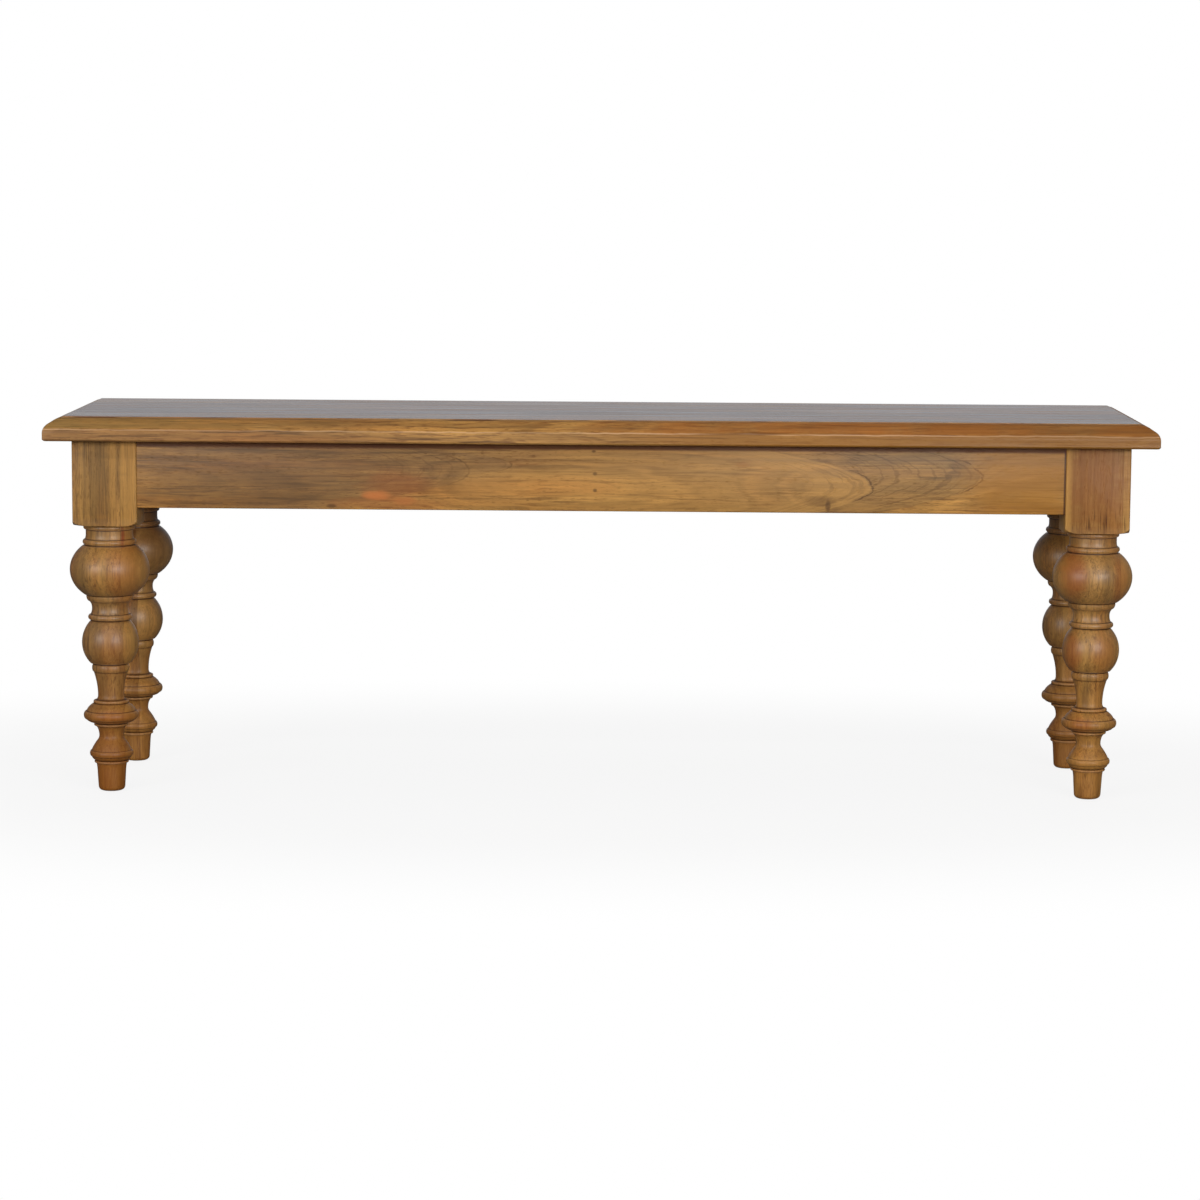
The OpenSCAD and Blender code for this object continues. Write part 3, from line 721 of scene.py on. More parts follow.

# %% [markdown]
# Each board is the blank with everything beyond its glue lines cut away. A hair's breadth is
# taken off along the joints, which is what makes a glue line visible in raking light.
# The bevel is darker than the flat, most of all towards the right: stain that took darker there,
# and painted shade. Its top was rubbed pale again. The thin wavy line along the crest below it is a
# painted highlight, the upright band gets a faint painted sheen towards the left, and spots of
# painted shadow sit in the little step.
# Those bands follow the moulding: the distance in from the seat's edge, and the height above
# its underside. The seat's right end is of redder, darker wood than its left end.

# %% Cut the blank into boards
BOARDS = 4
BOARD_WIDTH = DEPTH / BOARDS
JOINT_EASE = 0.12 * MM
SEAT_LOOKS = {
    "seat_board_front": {
        "pith": (-0.10, 0.36), "ring": 0.007, "seed": 2.0, "patchy": 0.5, "flecked": 0.6, "lined": 1.1,
    },
    "seat_board_front_middle": {"pith": (-0.02, 0.40), "seed": 5.3, "patchy": 0.8},
    "seat_board_rear_middle": {"pith": (0.16, 0.47), "seed": 8.1, "banded": 0.55},
    "seat_board_rear": {"pith": (0.10, 0.34), "ring": 0.007, "seed": 11.7, "patchy": 0.4},
}
SEAT_LEAN = (0.012, -0.03)
# The bevel colour is partly painted shade, and the crest colour is a painted highlight.
BEVEL_TONE, CREST_HIGHLIGHT, BAND_GOLD = colour(152, 90, 30), colour(226, 184, 142), colour(162, 112, 30)
FAR_TONE, NEAR_TONE = colour(118, 74, 18), colour(168, 140, 74)
BAND_FALL, BEVEL_RISE, CREST_LEVEL = 12 * MM, 17 * MM, 14 * MM
HIGHLIGHT_SWAY, HIGHLIGHT_FADE = 4.5 * MM, (0.3 * MM, 1.1 * MM)
RUBBED_FROM = MOULDING_WIDTH - 4 * MM
# The little step holds spots of painted shadow: the reach of the step, and the spots along the seat.
STEP_FADE, STEP_EDGE = (MOULDING_WIDTH - 5 * MM, MOULDING_WIDTH - 3.5 * MM), MOULDING_WIDTH + 0.4 * MM
STEP_SHADOW_SPOTS = ((-0.590, 0.034), (-0.150, 0.034))
WARM_RISE, DARK_RISE, PALE_FALL = (-0.15, 0.3), (0.25, 0.5), (-0.55, -0.2)
MOULDING_COAT, WORN_SHARE = 0.05, 0.35


def seat_finish(name, look):
    f = Finish(name, **TOP_VARNISH)
    x, y, z = f.place()
    made = wood(f, x, y, z, {**HONEY, "lean": SEAT_LEAN, **look})
    inward, level = (LENGTH / 2 - abs(x)).least(DEPTH / 2 - abs(y)), z - UNDERSIDE
    on_top, on_moulding = inward > MOULDING_WIDTH, inward < MOULDING_WIDTH
    rightward, far, near = f.ramp(x, *WARM_RISE), f.ramp(x, *DARK_RISE), 1 - f.ramp(x, *PALE_FALL)
    sway = f.noise(x * 22, y * 22, look["seed"], detail=3)
    bevel = f.ramp(level, CREST_LEVEL, BEVEL_RISE) * (1 - f.ramp(inward, RUBBED_FROM, RUBBED_FROM + 2 * MM))
    shaded = f.shade(BEVEL_TONE[:3], made["streak"].swing(2.4) + made["feather"].swing(1.8) + 1.16)
    rubbed = f.ramp(inward, RUBBED_FROM, RUBBED_FROM + 3 * MM) * (1 - on_top)
    crest = 1 - f.ramp(abs(level - CREST_LEVEL + sway.swing(HIGHLIGHT_SWAY)), *HIGHLIGHT_FADE)
    crest = crest * f.ramp(made["feather"], 0.25, 0.6)
    band = 1 - f.ramp(level, BAND_FALL, CREST_LEVEL)
    spots = sum(1 - f.ramp(abs(x - spot), reach * 0.5, reach) for spot, reach in STEP_SHADOW_SPOTS)
    step_shadow = f.ramp(inward, *STEP_FADE) * (inward < STEP_EDGE)
    made["tone"] = f.stain(
        made["tone"],
        # painted shade on the bevel, together with stain that took darker there
        (bevel * f.ramp(sway, 0.3, 0.6) * (rightward * 0.5 + 0.15), shaded),
        (rubbed * 0.35, RUBBED_AND_SHEEN),
        # painted highlight: a thin wavy line along the crest of the round
        (crest * (rightward * 0.25 + 0.45), CREST_HIGHLIGHT),
        # a faint painted sheen on the upright band, towards the left
        (band * (1 - rightward) * 0.12, RUBBED_AND_SHEEN),
        (band * rightward * 0.5, BAND_GOLD),
        (on_moulding * rightward * 0.2, HONEY["warm"]),
        (on_moulding * far * 0.35, FAR_TONE),
        (bevel * near * 0.3, NEAR_TONE),
        # painted shadow in spots of the little step
        (step_shadow * spots * 0.6, PAINTED_SHADOW_TONE),
    )
    worn = f.ramp(made["streak"], 0.35, 0.6) * WORN_SHARE
    f.link(f.surface, {"Coat Weight": on_top * (1 - MOULDING_COAT - worn) + MOULDING_COAT})
    return feed(f, made)


def cut_board(name, index, look):
    """A copy of the blank, cut off at the glue lines on one side or both."""
    only(blank)
    bpy.ops.object.duplicate()
    board = bpy.context.object
    mode("EDIT")
    sides = [(step, away) for step, away in ((index, -1), (index + 1, 1)) if 0 < step < BOARDS]
    cuts = {step * BOARD_WIDTH - DEPTH / 2: away for step, away in sides}
    for y, away in cuts.items():
        slice_off((0, y, 0), (0, away, 0))
    for y in cuts:
        pick(board, "EDGE", lambda e: all(abs(c.y - y) < HAIR for c in ends(board, e)))
        bpy.ops.mesh.bevel(offset=JOINT_EASE, segments=1, clamp_overlap=True)
    smooth(board, 28)
    settle(board, name, seat_finish(name, look))
    return board


for i, (board_name, board_look) in enumerate(SEAT_LOOKS.items()):
    made_board = cut_board(board_name, i, board_look)
    print(made_board.name, len(made_board.data.polygons), "faces")
bpy.data.objects.remove(blank)

# %% [markdown]
# ## The legs
# Each leg is one turning. The blank was glued up from two thicknesses of wood, turned between
# centres, and left square at the top, where the lathe only rounded the lower corners.
# The whole outline is spun round the leg's axis, as on a lathe. The block is a cube with its
# edges eased, cut by a spun shoulder, and the two are joined into one closed shape.

# %% Sizes and curves of the turning
BLOCK_WIDTH, BLOCK_EDGE_R = 76 * MM, 2 * MM
LEG_INSET = 30 * MM
LEG_X = LENGTH / 2 - LEG_INSET - BLOCK_WIDTH / 2
LEG_Y = DEPTH / 2 - LEG_INSET - BLOCK_WIDTH / 2
SHOULDER_FLAT_R, SHOULDER_ROUND_R = 43 * MM, 12 * MM
LEG_FLAT_DEPTH = 11 * MM
GROOVE_H, GROOVE_DEPTH = 1.4 * MM, 2 * MM
BEAD_PROUD, RING_PROUD = 2.6 * MM, 0.9 * MM
RING_H, RING_R, RING_QUIRK_H, RING_QUIRK_DEPTH = 2.8 * MM, 20.4 * MM, 0.9 * MM, 0.8 * MM
BALL_START, BALL_BEAD_H = 1.08, 6.4 * MM
ROUND_STEPS, SMALL_STEPS = 22, 6


def bead(z, h, proud, r):
    """A half-round that stands proud of the wood round it."""
    angles = np.radians(np.linspace(-90, 90, 2 * SMALL_STEPS + 1))
    return [(r - proud + proud * math.cos(a), z + h / 2 + h / 2 * math.sin(a)) for a in angles]


def half_ball(z_mid, r, span, end_r, start, end):
    """Part of a ball: 0 is its widest line, -1 its lower end and 1 its upper end."""
    end_angle = math.acos(end_r / r)
    half_height = span / math.sin(end_angle)
    angles = end_angle * np.linspace(start, end, ROUND_STEPS + 1)
    return [(r * math.cos(a), z_mid + half_height * math.sin(a)) for a in angles]


def cove(z, h, low_r, least_r, high_r, share):
    """A hollow, narrowest at the given share of its height."""
    waist = (least_r, z + h * share)
    low = curve((low_r, z), (least_r, z + h * share * 0.35), waist, ROUND_STEPS // 2)
    high = curve(waist, (least_r, z + h * (1 - (1 - share) * 0.35)), (high_r, z + h), ROUND_STEPS // 2)
    return low + high


def ring(z):
    """A fine ring with a quirk above it, and the height where the quirk ends."""
    quirk = (RING_R - RING_PROUD - RING_QUIRK_DEPTH, z + RING_H + RING_QUIRK_H / 2)
    return bead(z, RING_H, RING_PROUD, RING_R) + [quirk], z + RING_H + RING_QUIRK_H


print("a ring takes", round(ring(0)[1] / MM, 1), "mm of the leg's height")

# %% [markdown]
# The outline is drawn from the floor up, as pairs of a radius and a height. Its parts are the
# cuts that a turner makes: beads, hollows, grooves and balls, each with its own few sizes.


# %% The foot and the two discs
def foot_and_discs():
    """The plain foot, the two discs and the hollow between them: radius and height."""
    low_r, top_r, arris_r, foot_h = 15.8 * MM, 18.2 * MM, 5 * MM, 33.5 * MM
    disc_r, under_h, rim_h, rim_proud = 25.7 * MM, 4.3 * MM, 7 * MM, 1.9 * MM
    hollow_h, hollow_r = 29.7 * MM, 14.4 * MM
    high_r, high_under_h, high_rim_h, high_proud = 32.5 * MM, 4.1 * MM, 10 * MM, 3.2 * MM
    top_h, bead_h, bead_r = 9.4 * MM, 3.2 * MM, 20.9 * MM

    points = [(0, 0)] + arc((low_r - arris_r, arris_r), arris_r, 270, 360, SMALL_STEPS)
    bend = (between(low_r, top_r, 0.5), foot_h * 0.86)
    points += curve((between(low_r, top_r, 0.4), foot_h * 0.62), bend, (top_r, foot_h), SMALL_STEPS)
    ring_points, z = ring(foot_h)
    rim_z = z + under_h
    bend = (between(RING_R, disc_r, 0.5), between(z, rim_z, 0.4))
    points += ring_points + curve((RING_R, z), bend, (disc_r - rim_proud, rim_z), SMALL_STEPS)
    points += bead(rim_z, rim_h, rim_proud, disc_r)

    z = rim_z + rim_h
    shoulder = (between(hollow_r, disc_r, 0.25), z + hollow_h * 0.38)
    waist = (hollow_r, z + hollow_h * 0.59)
    bend = (between(hollow_r, disc_r, 0.6), z + hollow_h * 0.2)
    points += curve((disc_r - rim_proud, z), bend, shoulder, ROUND_STEPS // 2)
    points += curve(shoulder, (hollow_r, z + hollow_h * 0.49), waist, SMALL_STEPS)
    hollow_end = (RING_R - RING_PROUD * 2, z + hollow_h)
    points += curve(waist, (hollow_r, z + hollow_h * 0.86), hollow_end, ROUND_STEPS // 2)

    ring_points, z = ring(z + hollow_h)
    rim_z = z + high_under_h
    rim_r = high_r - high_proud
    bend = (between(RING_R, high_r, 0.6), between(z, rim_z, 0.3))
    points += ring_points + curve((RING_R + RING_PROUD, z), bend, (rim_r, rim_z), SMALL_STEPS)
    points += bead(rim_z, high_rim_h, high_proud, high_r)
    z = rim_z + high_rim_h
    bend = (between(bead_r, rim_r, 0.8), z + top_h * 0.53)
    points += curve((rim_r, z), bend, (bead_r - RING_PROUD / 2, z + top_h), ROUND_STEPS // 2)
    points += bead(z + top_h, bead_h, RING_PROUD, bead_r)
    return points, z + top_h + bead_h, bead_r


lower, disc_top_z, disc_top_r = foot_and_discs()
print("foot and discs:", len(lower), "points up to", round(disc_top_z, 4), "m")


# %% The neck and the two balls
def ball(z, r, low_h, high_h, start_r, end_r, groove_r, bead_r):
    """A ball, the groove above it and a bead: the points, and the height where the bead ends."""
    z += low_h
    points = half_ball(z, r, low_h, start_r * BALL_START, -1, 0) + half_ball(z, r, high_h, end_r, 0, 1)[1:]
    z += high_h + GROOVE_H
    points += [(groove_r, z - GROOVE_H / 2)] + bead(z, BALL_BEAD_H, BEAD_PROUD, bead_r)
    return points, z + BALL_BEAD_H


def neck_to_block(z, disc_top_r):
    """The neck, the two balls and the hollows above them, up to the block."""
    step_h, neck_h, neck_r, neck_top_r = 1.6 * MM, 33 * MM, 15.4 * MM, 20.3 * MM
    collar_h, collar_r = 9 * MM, 22.1 * MM
    small_r, small_low_h, small_high_h = 33.6 * MM, 24.5 * MM, 26 * MM
    low_bead_r, high_bead_r = 26 * MM, 31.6 * MM
    middle_h, middle_r = 16.5 * MM, 21.4 * MM
    ball_collar_h, ball_collar_r = 6.2 * MM, 28 * MM
    large_r, large_low_h, large_high_h = 47 * MM, 29.5 * MM, 28.5 * MM
    top_h, top_r, ring_h, ring_r = 12 * MM, 27.8 * MM, 4.8 * MM, 30.6 * MM

    neck_z = z + step_h
    low_end = (neck_r, neck_z + neck_h * 0.15)
    start = (between(neck_r, disc_top_r, 0.5), z + step_h / 3)
    points = curve(start, (neck_r, neck_z), low_end, SMALL_STEPS)
    bend = (between(neck_r, neck_top_r, 0.06), neck_z + neck_h * 0.6)
    z = neck_z + neck_h
    points += curve((neck_r, neck_z + neck_h * 0.18), bend, (neck_top_r, z), ROUND_STEPS // 2)
    points += bead(z, collar_h, collar_r - neck_top_r, collar_r)
    z += collar_h + GROOVE_H
    points += [(collar_r - GROOVE_DEPTH, z - GROOVE_H / 2)]

    waist_r, groove_r = low_bead_r - BEAD_PROUD, low_bead_r - BEAD_PROUD - GROOVE_DEPTH / 2
    more, z = ball(z, small_r, small_low_h, small_high_h, collar_r, waist_r, groove_r, low_bead_r)
    points += more + cove(z, middle_h, waist_r, middle_r, ball_collar_r - BEAD_PROUD, 0.46)
    z += middle_h
    low_end, bend = (ball_collar_r - BEAD_PROUD * 0.8, z), (ball_collar_r, z + ball_collar_h / 3)
    points += curve(low_end, bend, (ball_collar_r, z + ball_collar_h), SMALL_STEPS)
    z += ball_collar_h + GROOVE_H
    points += [(ball_collar_r - GROOVE_DEPTH, z - GROOVE_H / 2)]

    groove_r = high_bead_r - BEAD_PROUD
    more, z = ball(z, large_r, large_low_h, large_high_h, ball_collar_r, high_bead_r, groove_r, high_bead_r)
    points += more + cove(z, top_h, groove_r, top_r, ring_r - BEAD_PROUD, 0.52)
    z += top_h
    points += bead(z, ring_h, BEAD_PROUD / 2, ring_r)
    z += ring_h + GROOVE_H
    neck_in = ring_r - GROOVE_DEPTH
    points += [(neck_in, z - GROOVE_H / 2), (neck_in, z + GROOVE_H), (0, z + GROOVE_H)]
    return points, z


upper, BLOCK_Z = neck_to_block(disc_top_z, disc_top_r)
leg_outline = lower + upper
print("outline of", len(leg_outline), "points; the block starts at", round(BLOCK_Z, 4), "m")

# %% Turn the leg
TURN_STEPS = 96


def turned(name, outline, steps=TURN_STEPS):
    """A closed shape spun round the Z axis from an outline that ends on it or is closed."""
    mesh = bpy.data.meshes.new(name)
    mesh.from_pydata([(r, 0, z) for r, z in outline], [(i, i + 1) for i in range(len(outline) - 1)], [])
    piece = bpy.data.objects.new(name, mesh)
    bpy.context.collection.objects.link(piece)
    only(piece)
    mode("EDIT")
    merge_doubles()
    bpy.ops.mesh.spin(steps=steps, angle=2 * math.pi, center=(0, 0, 0), axis=(0, 0, 1))
    close_up()
    return piece


turning = turned("turning", leg_outline)
print("turning:", len(turning.data.polygons), "faces")

# %% Square the block and cut its shoulders
BLOCK_HEIGHT = UNDERSIDE - BLOCK_Z
EDGE_EASE = 0.7 * MM
WIDE = 2 * BLOCK_WIDTH

block = cube((BLOCK_WIDTH, BLOCK_WIDTH, BLOCK_HEIGHT), (0, 0, BLOCK_Z + BLOCK_HEIGHT / 2))
pick(block, "EDGE", lambda e: abs(ends(block, e)[0].z - ends(block, e)[1].z) > BLOCK_HEIGHT / 2)
bpy.ops.mesh.bevel(offset=BLOCK_EDGE_R, segments=4)
mode("OBJECT")

shoulder_z = BLOCK_Z + SHOULDER_ROUND_R
shoulder_outline = [(0, BLOCK_Z)]
shoulder_outline += arc((SHOULDER_FLAT_R, shoulder_z), SHOULDER_ROUND_R, 270, 360, ROUND_STEPS)
shoulder_outline += [(WIDE, shoulder_z + SHOULDER_ROUND_R / 2), (WIDE, HEIGHT), (0, HEIGHT)]
cut(block, turned("shoulder", shoulder_outline), "INTERSECT")

only(block)
mode("EDIT")
corner = BLOCK_WIDTH / 2 - LEG_FLAT_DEPTH / math.sqrt(2)
slice_off((corner, corner, 0), (1, 1, 0))
mode("OBJECT")
ease_edges(block, EDGE_EASE)
print("block:", len(block.data.polygons), "faces")

# %% [markdown]
# Stain gathers in the hollows and grooves of a turning, and wears off its rims; the darkening in
# the hollows and grooves is painted shade as well. How hollow or proud each height is, compared
# with the outline a little above and below, is stored on the mesh as two attributes, which the
# finish reads: one for wide hollows and one for fine creases.

# %% Join the two, and mark hollows and rims
LEVEL_STEP = 0.1 * MM
HOLLOW_REACH, HOLLOW_FULL = 5 * MM, 3 * MM
CREASE_REACH, CREASE_FULL = 1.4 * MM, 0.5 * MM

cut(turning, block, "UNION")

outline_z = np.array([z for r, z in leg_outline[:-3]])
outline_r = np.array([r for r, z in leg_outline[:-3]])
levels = np.arange(0, BLOCK_Z, LEVEL_STEP)
radii = np.interp(levels, outline_z, outline_r)


def sunk(reach, full):
    """How far each height lies below the mean radius round it, from -1 to 1."""
    spread = int(reach / LEVEL_STEP)
    padded = np.pad(radii, spread, mode="edge")
    around = np.array([padded[i : i + 2 * spread + 1].mean() for i in range(len(radii))])
    return np.clip((around - radii) / full, -1, 1)


def mark_hollows(leg):
    """Stores hollows and creases on the turned part: 1 in a groove, -1 on a rim, 0 on the block."""
    spots = np.array([v.co[:] for v in leg.data.vertices])
    for name, reach, full in (("hollow", HOLLOW_REACH, HOLLOW_FULL), ("crease", CREASE_REACH, CREASE_FULL)):
        values = np.interp(spots[:, 2], levels, sunk(reach, full))
        values[spots[:, 2] > BLOCK_Z - MM / 2] = 0
        attribute = leg.data.attributes.new(name, "FLOAT", "POINT")
        attribute.data.foreach_set("value", values.astype(np.float32))


mark_hollows(turning)
print("leg:", len(turning.data.polygons), "faces")

# %% [markdown]
# The four legs are the same turning, each turned on its axis so that the planed flat faces the
# inside of the frame. A glued thickness shows as a change of colour and figure down the leg.
# The glue line is a plane through the leg: on one side of it the wood is another board, so the
# place that the recipe works from is shifted there, and the tone changes.

# %% Finish of a leg
# The rear tone is painted shade on the rear legs' upper part, under the apron.
GOLD, OLIVE_STREAK, REAR_SHADE_TONE = colour(206, 154, 78), colour(108, 82, 44), colour(104, 58, 24)
RED_BROWN, RESIN, RUDDY = colour(140, 82, 34), colour(150, 62, 20), colour(168, 88, 34)
# The foot is painted darker towards the floor: painted shade.
FOOT_SHADE_TONE, FOOT_SHADE_FADE = colour(140, 74, 4), 0.2
POLISH_RISE = (0.12, 0.2)
# Painted shadow of the seat's lip across the top of each block.
LEG_LIP_SHADOW = 5 * MM
GLUE_SHIFT, GLUE_LINE = (0.11, 0.07, 0.7), (0.2 * MM, 0.7 * MM)
TORN_Z = (BLOCK_Z, BLOCK_Z + 8 * MM, BLOCK_Z + 16 * MM, BLOCK_Z + 32 * MM)


def leg_finish(name, centre, look):
    """Wood up the leg, with another board beyond its glue line."""
    f = Finish(name, **LATHE_POLISH)
    x, y, z = f.place()
    x, y = x - centre[0], y - centre[1]
    glue_x, share, beyond_tone = look["glue"]
    beyond = x > glue_x
    u, v, along = (at + beyond * shift for at, shift in zip((x, y, z), GLUE_SHIFT))
    made = wood(f, along, u, v, {**HONEY, **look})
    tone = made["tone"]
    glue_line = 1 - f.ramp(abs(x - glue_x), *GLUE_LINE)
    tone = f.stain(tone, (beyond * share, beyond_tone), (glue_line * 0.3, STAIN_AND_SHADE))
    low, full, fading, gone = TORN_Z
    torn = f.ramp(f.noise(x * 520, y * 520, z * 22, detail=1), 0.56, 0.7)
    torn = torn * f.ramp(z, low, full) * (1 - f.ramp(z, fading, gone))
    marks = ({"attribute_name": mark} for mark in ("hollow", "crease"))
    hollow, crease = (f.add("ShaderNodeAttribute", mark, out="Fac") for mark in marks)
    creased = f.ramp(crease, 0.1, 0.8) * 0.75
    proud = f.ramp(0 - hollow, 0.15, 0.8) * f.ramp(made["streak"], 0.3, 0.6)
    made["tone"] = f.stain(
        spotted(f, tone, x, z, look["marks"]),
        (torn * look["torn"], STAIN_AND_SHADE),
        # painted shade, darker towards the floor
        ((1 - f.ramp(z, 0, FOOT_SHADE_FADE)) * look["foot"], FOOT_SHADE_TONE),
        # painted shadow under the seat's lip
        (f.ramp(z, UNDERSIDE - LEG_LIP_SHADOW, UNDERSIDE) * 0.6, STAIN_AND_SHADE),
        (proud * 0.35, HONEY["warm"]),
        (f.ramp(0 - crease, 0.15, 0.8) * 0.25, RUBBED_AND_SHEEN),
        # stain in hollows and creases, and painted shade there too
        (f.ramp(hollow, 0.2, 1.1) * 0.35, STAIN_AND_SHADE),
        (creased, STAIN_AND_SHADE),
    )
    made["gloss"] = made["gloss"] + creased * 0.15
    polished = f.ramp(z, *POLISH_RISE) * 0.7 + 0.3
    polished = polished * (1 - f.ramp(z, BLOCK_Z, BLOCK_Z + SHOULDER_ROUND_R))
    f.link(f.surface, {"Coat Weight": polished * LATHE_POLISH["Coat_Weight"]})
    return feed(f, made)


print("torn fibres fade out at", round(TORN_Z[-1], 3), "m")

# %% Set out the four legs
# Sides of the bench, degrees that the turning is turned, and the wood. A glue line has its place,
# a share and the tone beyond it, and marks are written in millimetres from the leg's axis.
LEG_LOOKS = {
    "leg_front_left": ((-1, -1), 0, {
        "pith": (-0.17, 0.03), "ring": 0.007, "seed": 3.1, "patchy": 0.7, "lean": (0.02, 0.01),
        "streaky": 0.4, "banded": 0.3, "flecked": 0.4, "torn": 0.3, "foot": 0.75,
        "glue": (0.0185, 0.34, GOLD),
        "marks": (
            (-12, 375, 40, 75, OLIVE_STREAK, 0.5),
            (-4, 370, 12, 180, OLIVE_STREAK, 0.3),
            (10, 380, 5, 90, GOLD, 0.3),
            (24, 260, 22, 60, HONEY["warm"], 0.4),
            (4, 172, 26, 36, HONEY["warm"], 0.3),
            (-30, 262, 12, 34, OLIVE_STREAK, 0.45),
            (-4, 270, 7, 50, GOLD, 0.3),
            (-12, 178, 9, 34, OLIVE_STREAK, 0.4),
            (6, 90, 30, 10, HONEY["warm"], 0.5),
            (-6, 125, 6, 40, OLIVE_STREAK, 0.4),
            (19, 306, 2.2, 16, RESIN, 0.75),
        ),
    }),
    "leg_front_right": ((1, -1), 90, {
        "pith": (0.16, 0.02), "ring": 0.008, "seed": 6.4, "patchy": 0.35, "lean": (0.015, 0.02),
        "streaky": 0.5, "banded": 0.22, "veined": 0.25, "lined": 0.5, "flecked": 0.35,
        "torn": 0.7, "foot": 0.25, "glue": (0.029, 0.45, GOLD),
        "marks": (
            (-2, 385, 50, 85, RED_BROWN, 0.7),
            (-36, 370, 6, 200, GOLD, 0.5),
            (-26, 272, 18, 34, RUDDY, 0.6),
            (-24, 176, 12, 26, RUDDY, 0.5),
            (30, 262, 12, 34, RUDDY, 0.35),
            (14, 270, 8, 40, OLIVE_STREAK, 0.35),
            (12, 178, 18, 26, HONEY["warm"], 0.4),
            (-6, 128, 5, 40, OLIVE_STREAK, 0.4),
            (-12, 90, 14, 12, RUDDY, 0.5),
            (0, 45, 60, 9, GOLD, 0.4),
        ),
    }),
    "leg_rear_left": ((-1, 1), 270, {
        "pith": (0.15, -0.03), "ring": 0.007, "seed": 9.2, "patchy": 0.8, "lean": (0.02, -0.02),
        "torn": 0.2, "foot": 0.35, "glue": (0.006, 0.2, GOLD),
        # painted shade under the apron
        "marks": ((0, 340, 100, 120, REAR_SHADE_TONE, 0.5),),
    }),
    "leg_rear_right": ((1, 1), 180, {
        "pith": (-0.16, -0.02), "seed": 12.8, "patchy": 0.6, "lean": (-0.02, 0.02),
        "torn": 0.2, "foot": 0.5, "glue": (-0.012, 0.25, GOLD),
        # painted shade under the apron
        "marks": ((0, 340, 100, 80, REAR_SHADE_TONE, 0.3),),
    }),
}

for name, (sides, turn, look) in LEG_LOOKS.items():
    centre = (sides[0] * LEG_X, sides[1] * LEG_Y)
    stood = copied(turning, Matrix.Translation((*centre, 0)) @ rotation(math.radians(turn), "Z"))
    smooth(stood, 32)
    settle(stood, name, leg_finish(name, centre, look))
    print(name, [round(v, 3) for v in stood.dimensions])
bpy.data.objects.remove(turning)

# %% [markdown]
# ## The aprons
# The aprons are plain planks on edge between the blocks, a little behind the blocks' faces.
# The front one shows flat-sawn wood: long arches that point to the right, a dark swirl, a
# reddish patch and three pin knots. In the recipe an eye is a hump in the distance from the
# pith, round which the lines close, and a mark is a spot of another tone.

# %% Planks
APRON_HEIGHT, APRON_THICKNESS = 80 * MM, 20 * MM
APRON_SETBACK, APRON_EASE = 2 * MM, 1.5 * MM
BLOCK_INNER_X, BLOCK_INNER_Y = LEG_X - BLOCK_WIDTH / 2, LEG_Y - BLOCK_WIDTH / 2
APRON_OUTER_X = LEG_X + BLOCK_WIDTH / 2 - APRON_SETBACK
APRON_OUTER_Y = LEG_Y + BLOCK_WIDTH / 2 - APRON_SETBACK
APRON_INNER_X, APRON_INNER_Y = APRON_OUTER_X - APRON_THICKNESS, APRON_OUTER_Y - APRON_THICKNESS
APRON_BOTTOM = UNDERSIDE - APRON_HEIGHT


def plank(low, high, ease, low_ease=None):
    """A box between two corners with its edges eased, more so along its lower edges."""
    low, high = Vector(low), Vector(high)
    size = high - low
    piece = cube(size, (low + high) / 2)
    axis = max(range(3), key=lambda i: size[i])

    def runs_low(e):
        a, b = ends(piece, e)
        return abs(a[axis] - b[axis]) > size[axis] / 2 and a.z < low.z + MM

    if low_ease:
        pick(piece, "EDGE", runs_low)
        bpy.ops.mesh.bevel(offset=low_ease, segments=4)
    ease_edges(piece, ease)
    smooth(piece)
    return piece


print("aprons stand between z", round(APRON_BOTTOM, 3), "and", UNDERSIDE)

# %% Finish of the front apron
OLIVE, GOLDEN, RUSSET = colour(126, 98, 58), colour(176, 118, 36), colour(158, 92, 46)
AMBER, KNOT, BRIGHT = colour(206, 122, 62), colour(60, 30, 14), colour(196, 146, 78)
UMBER = colour(112, 84, 56)
# Eyes: centre, reach to the left and right, height, and rings that they add.
APRON_EYES = (
    ((-0.240, 0.376), (0.170, 0.060), 0.028, 2.2),
    ((0.300, 0.374), (0.130, 0.052), 0.022, 3.2),
    ((0.392, 0.387), (0.120, 0.075), 0.028, 4.6),
    ((0.256, 0.357), (0.030, 0.018), 0.010, 2.0),
)
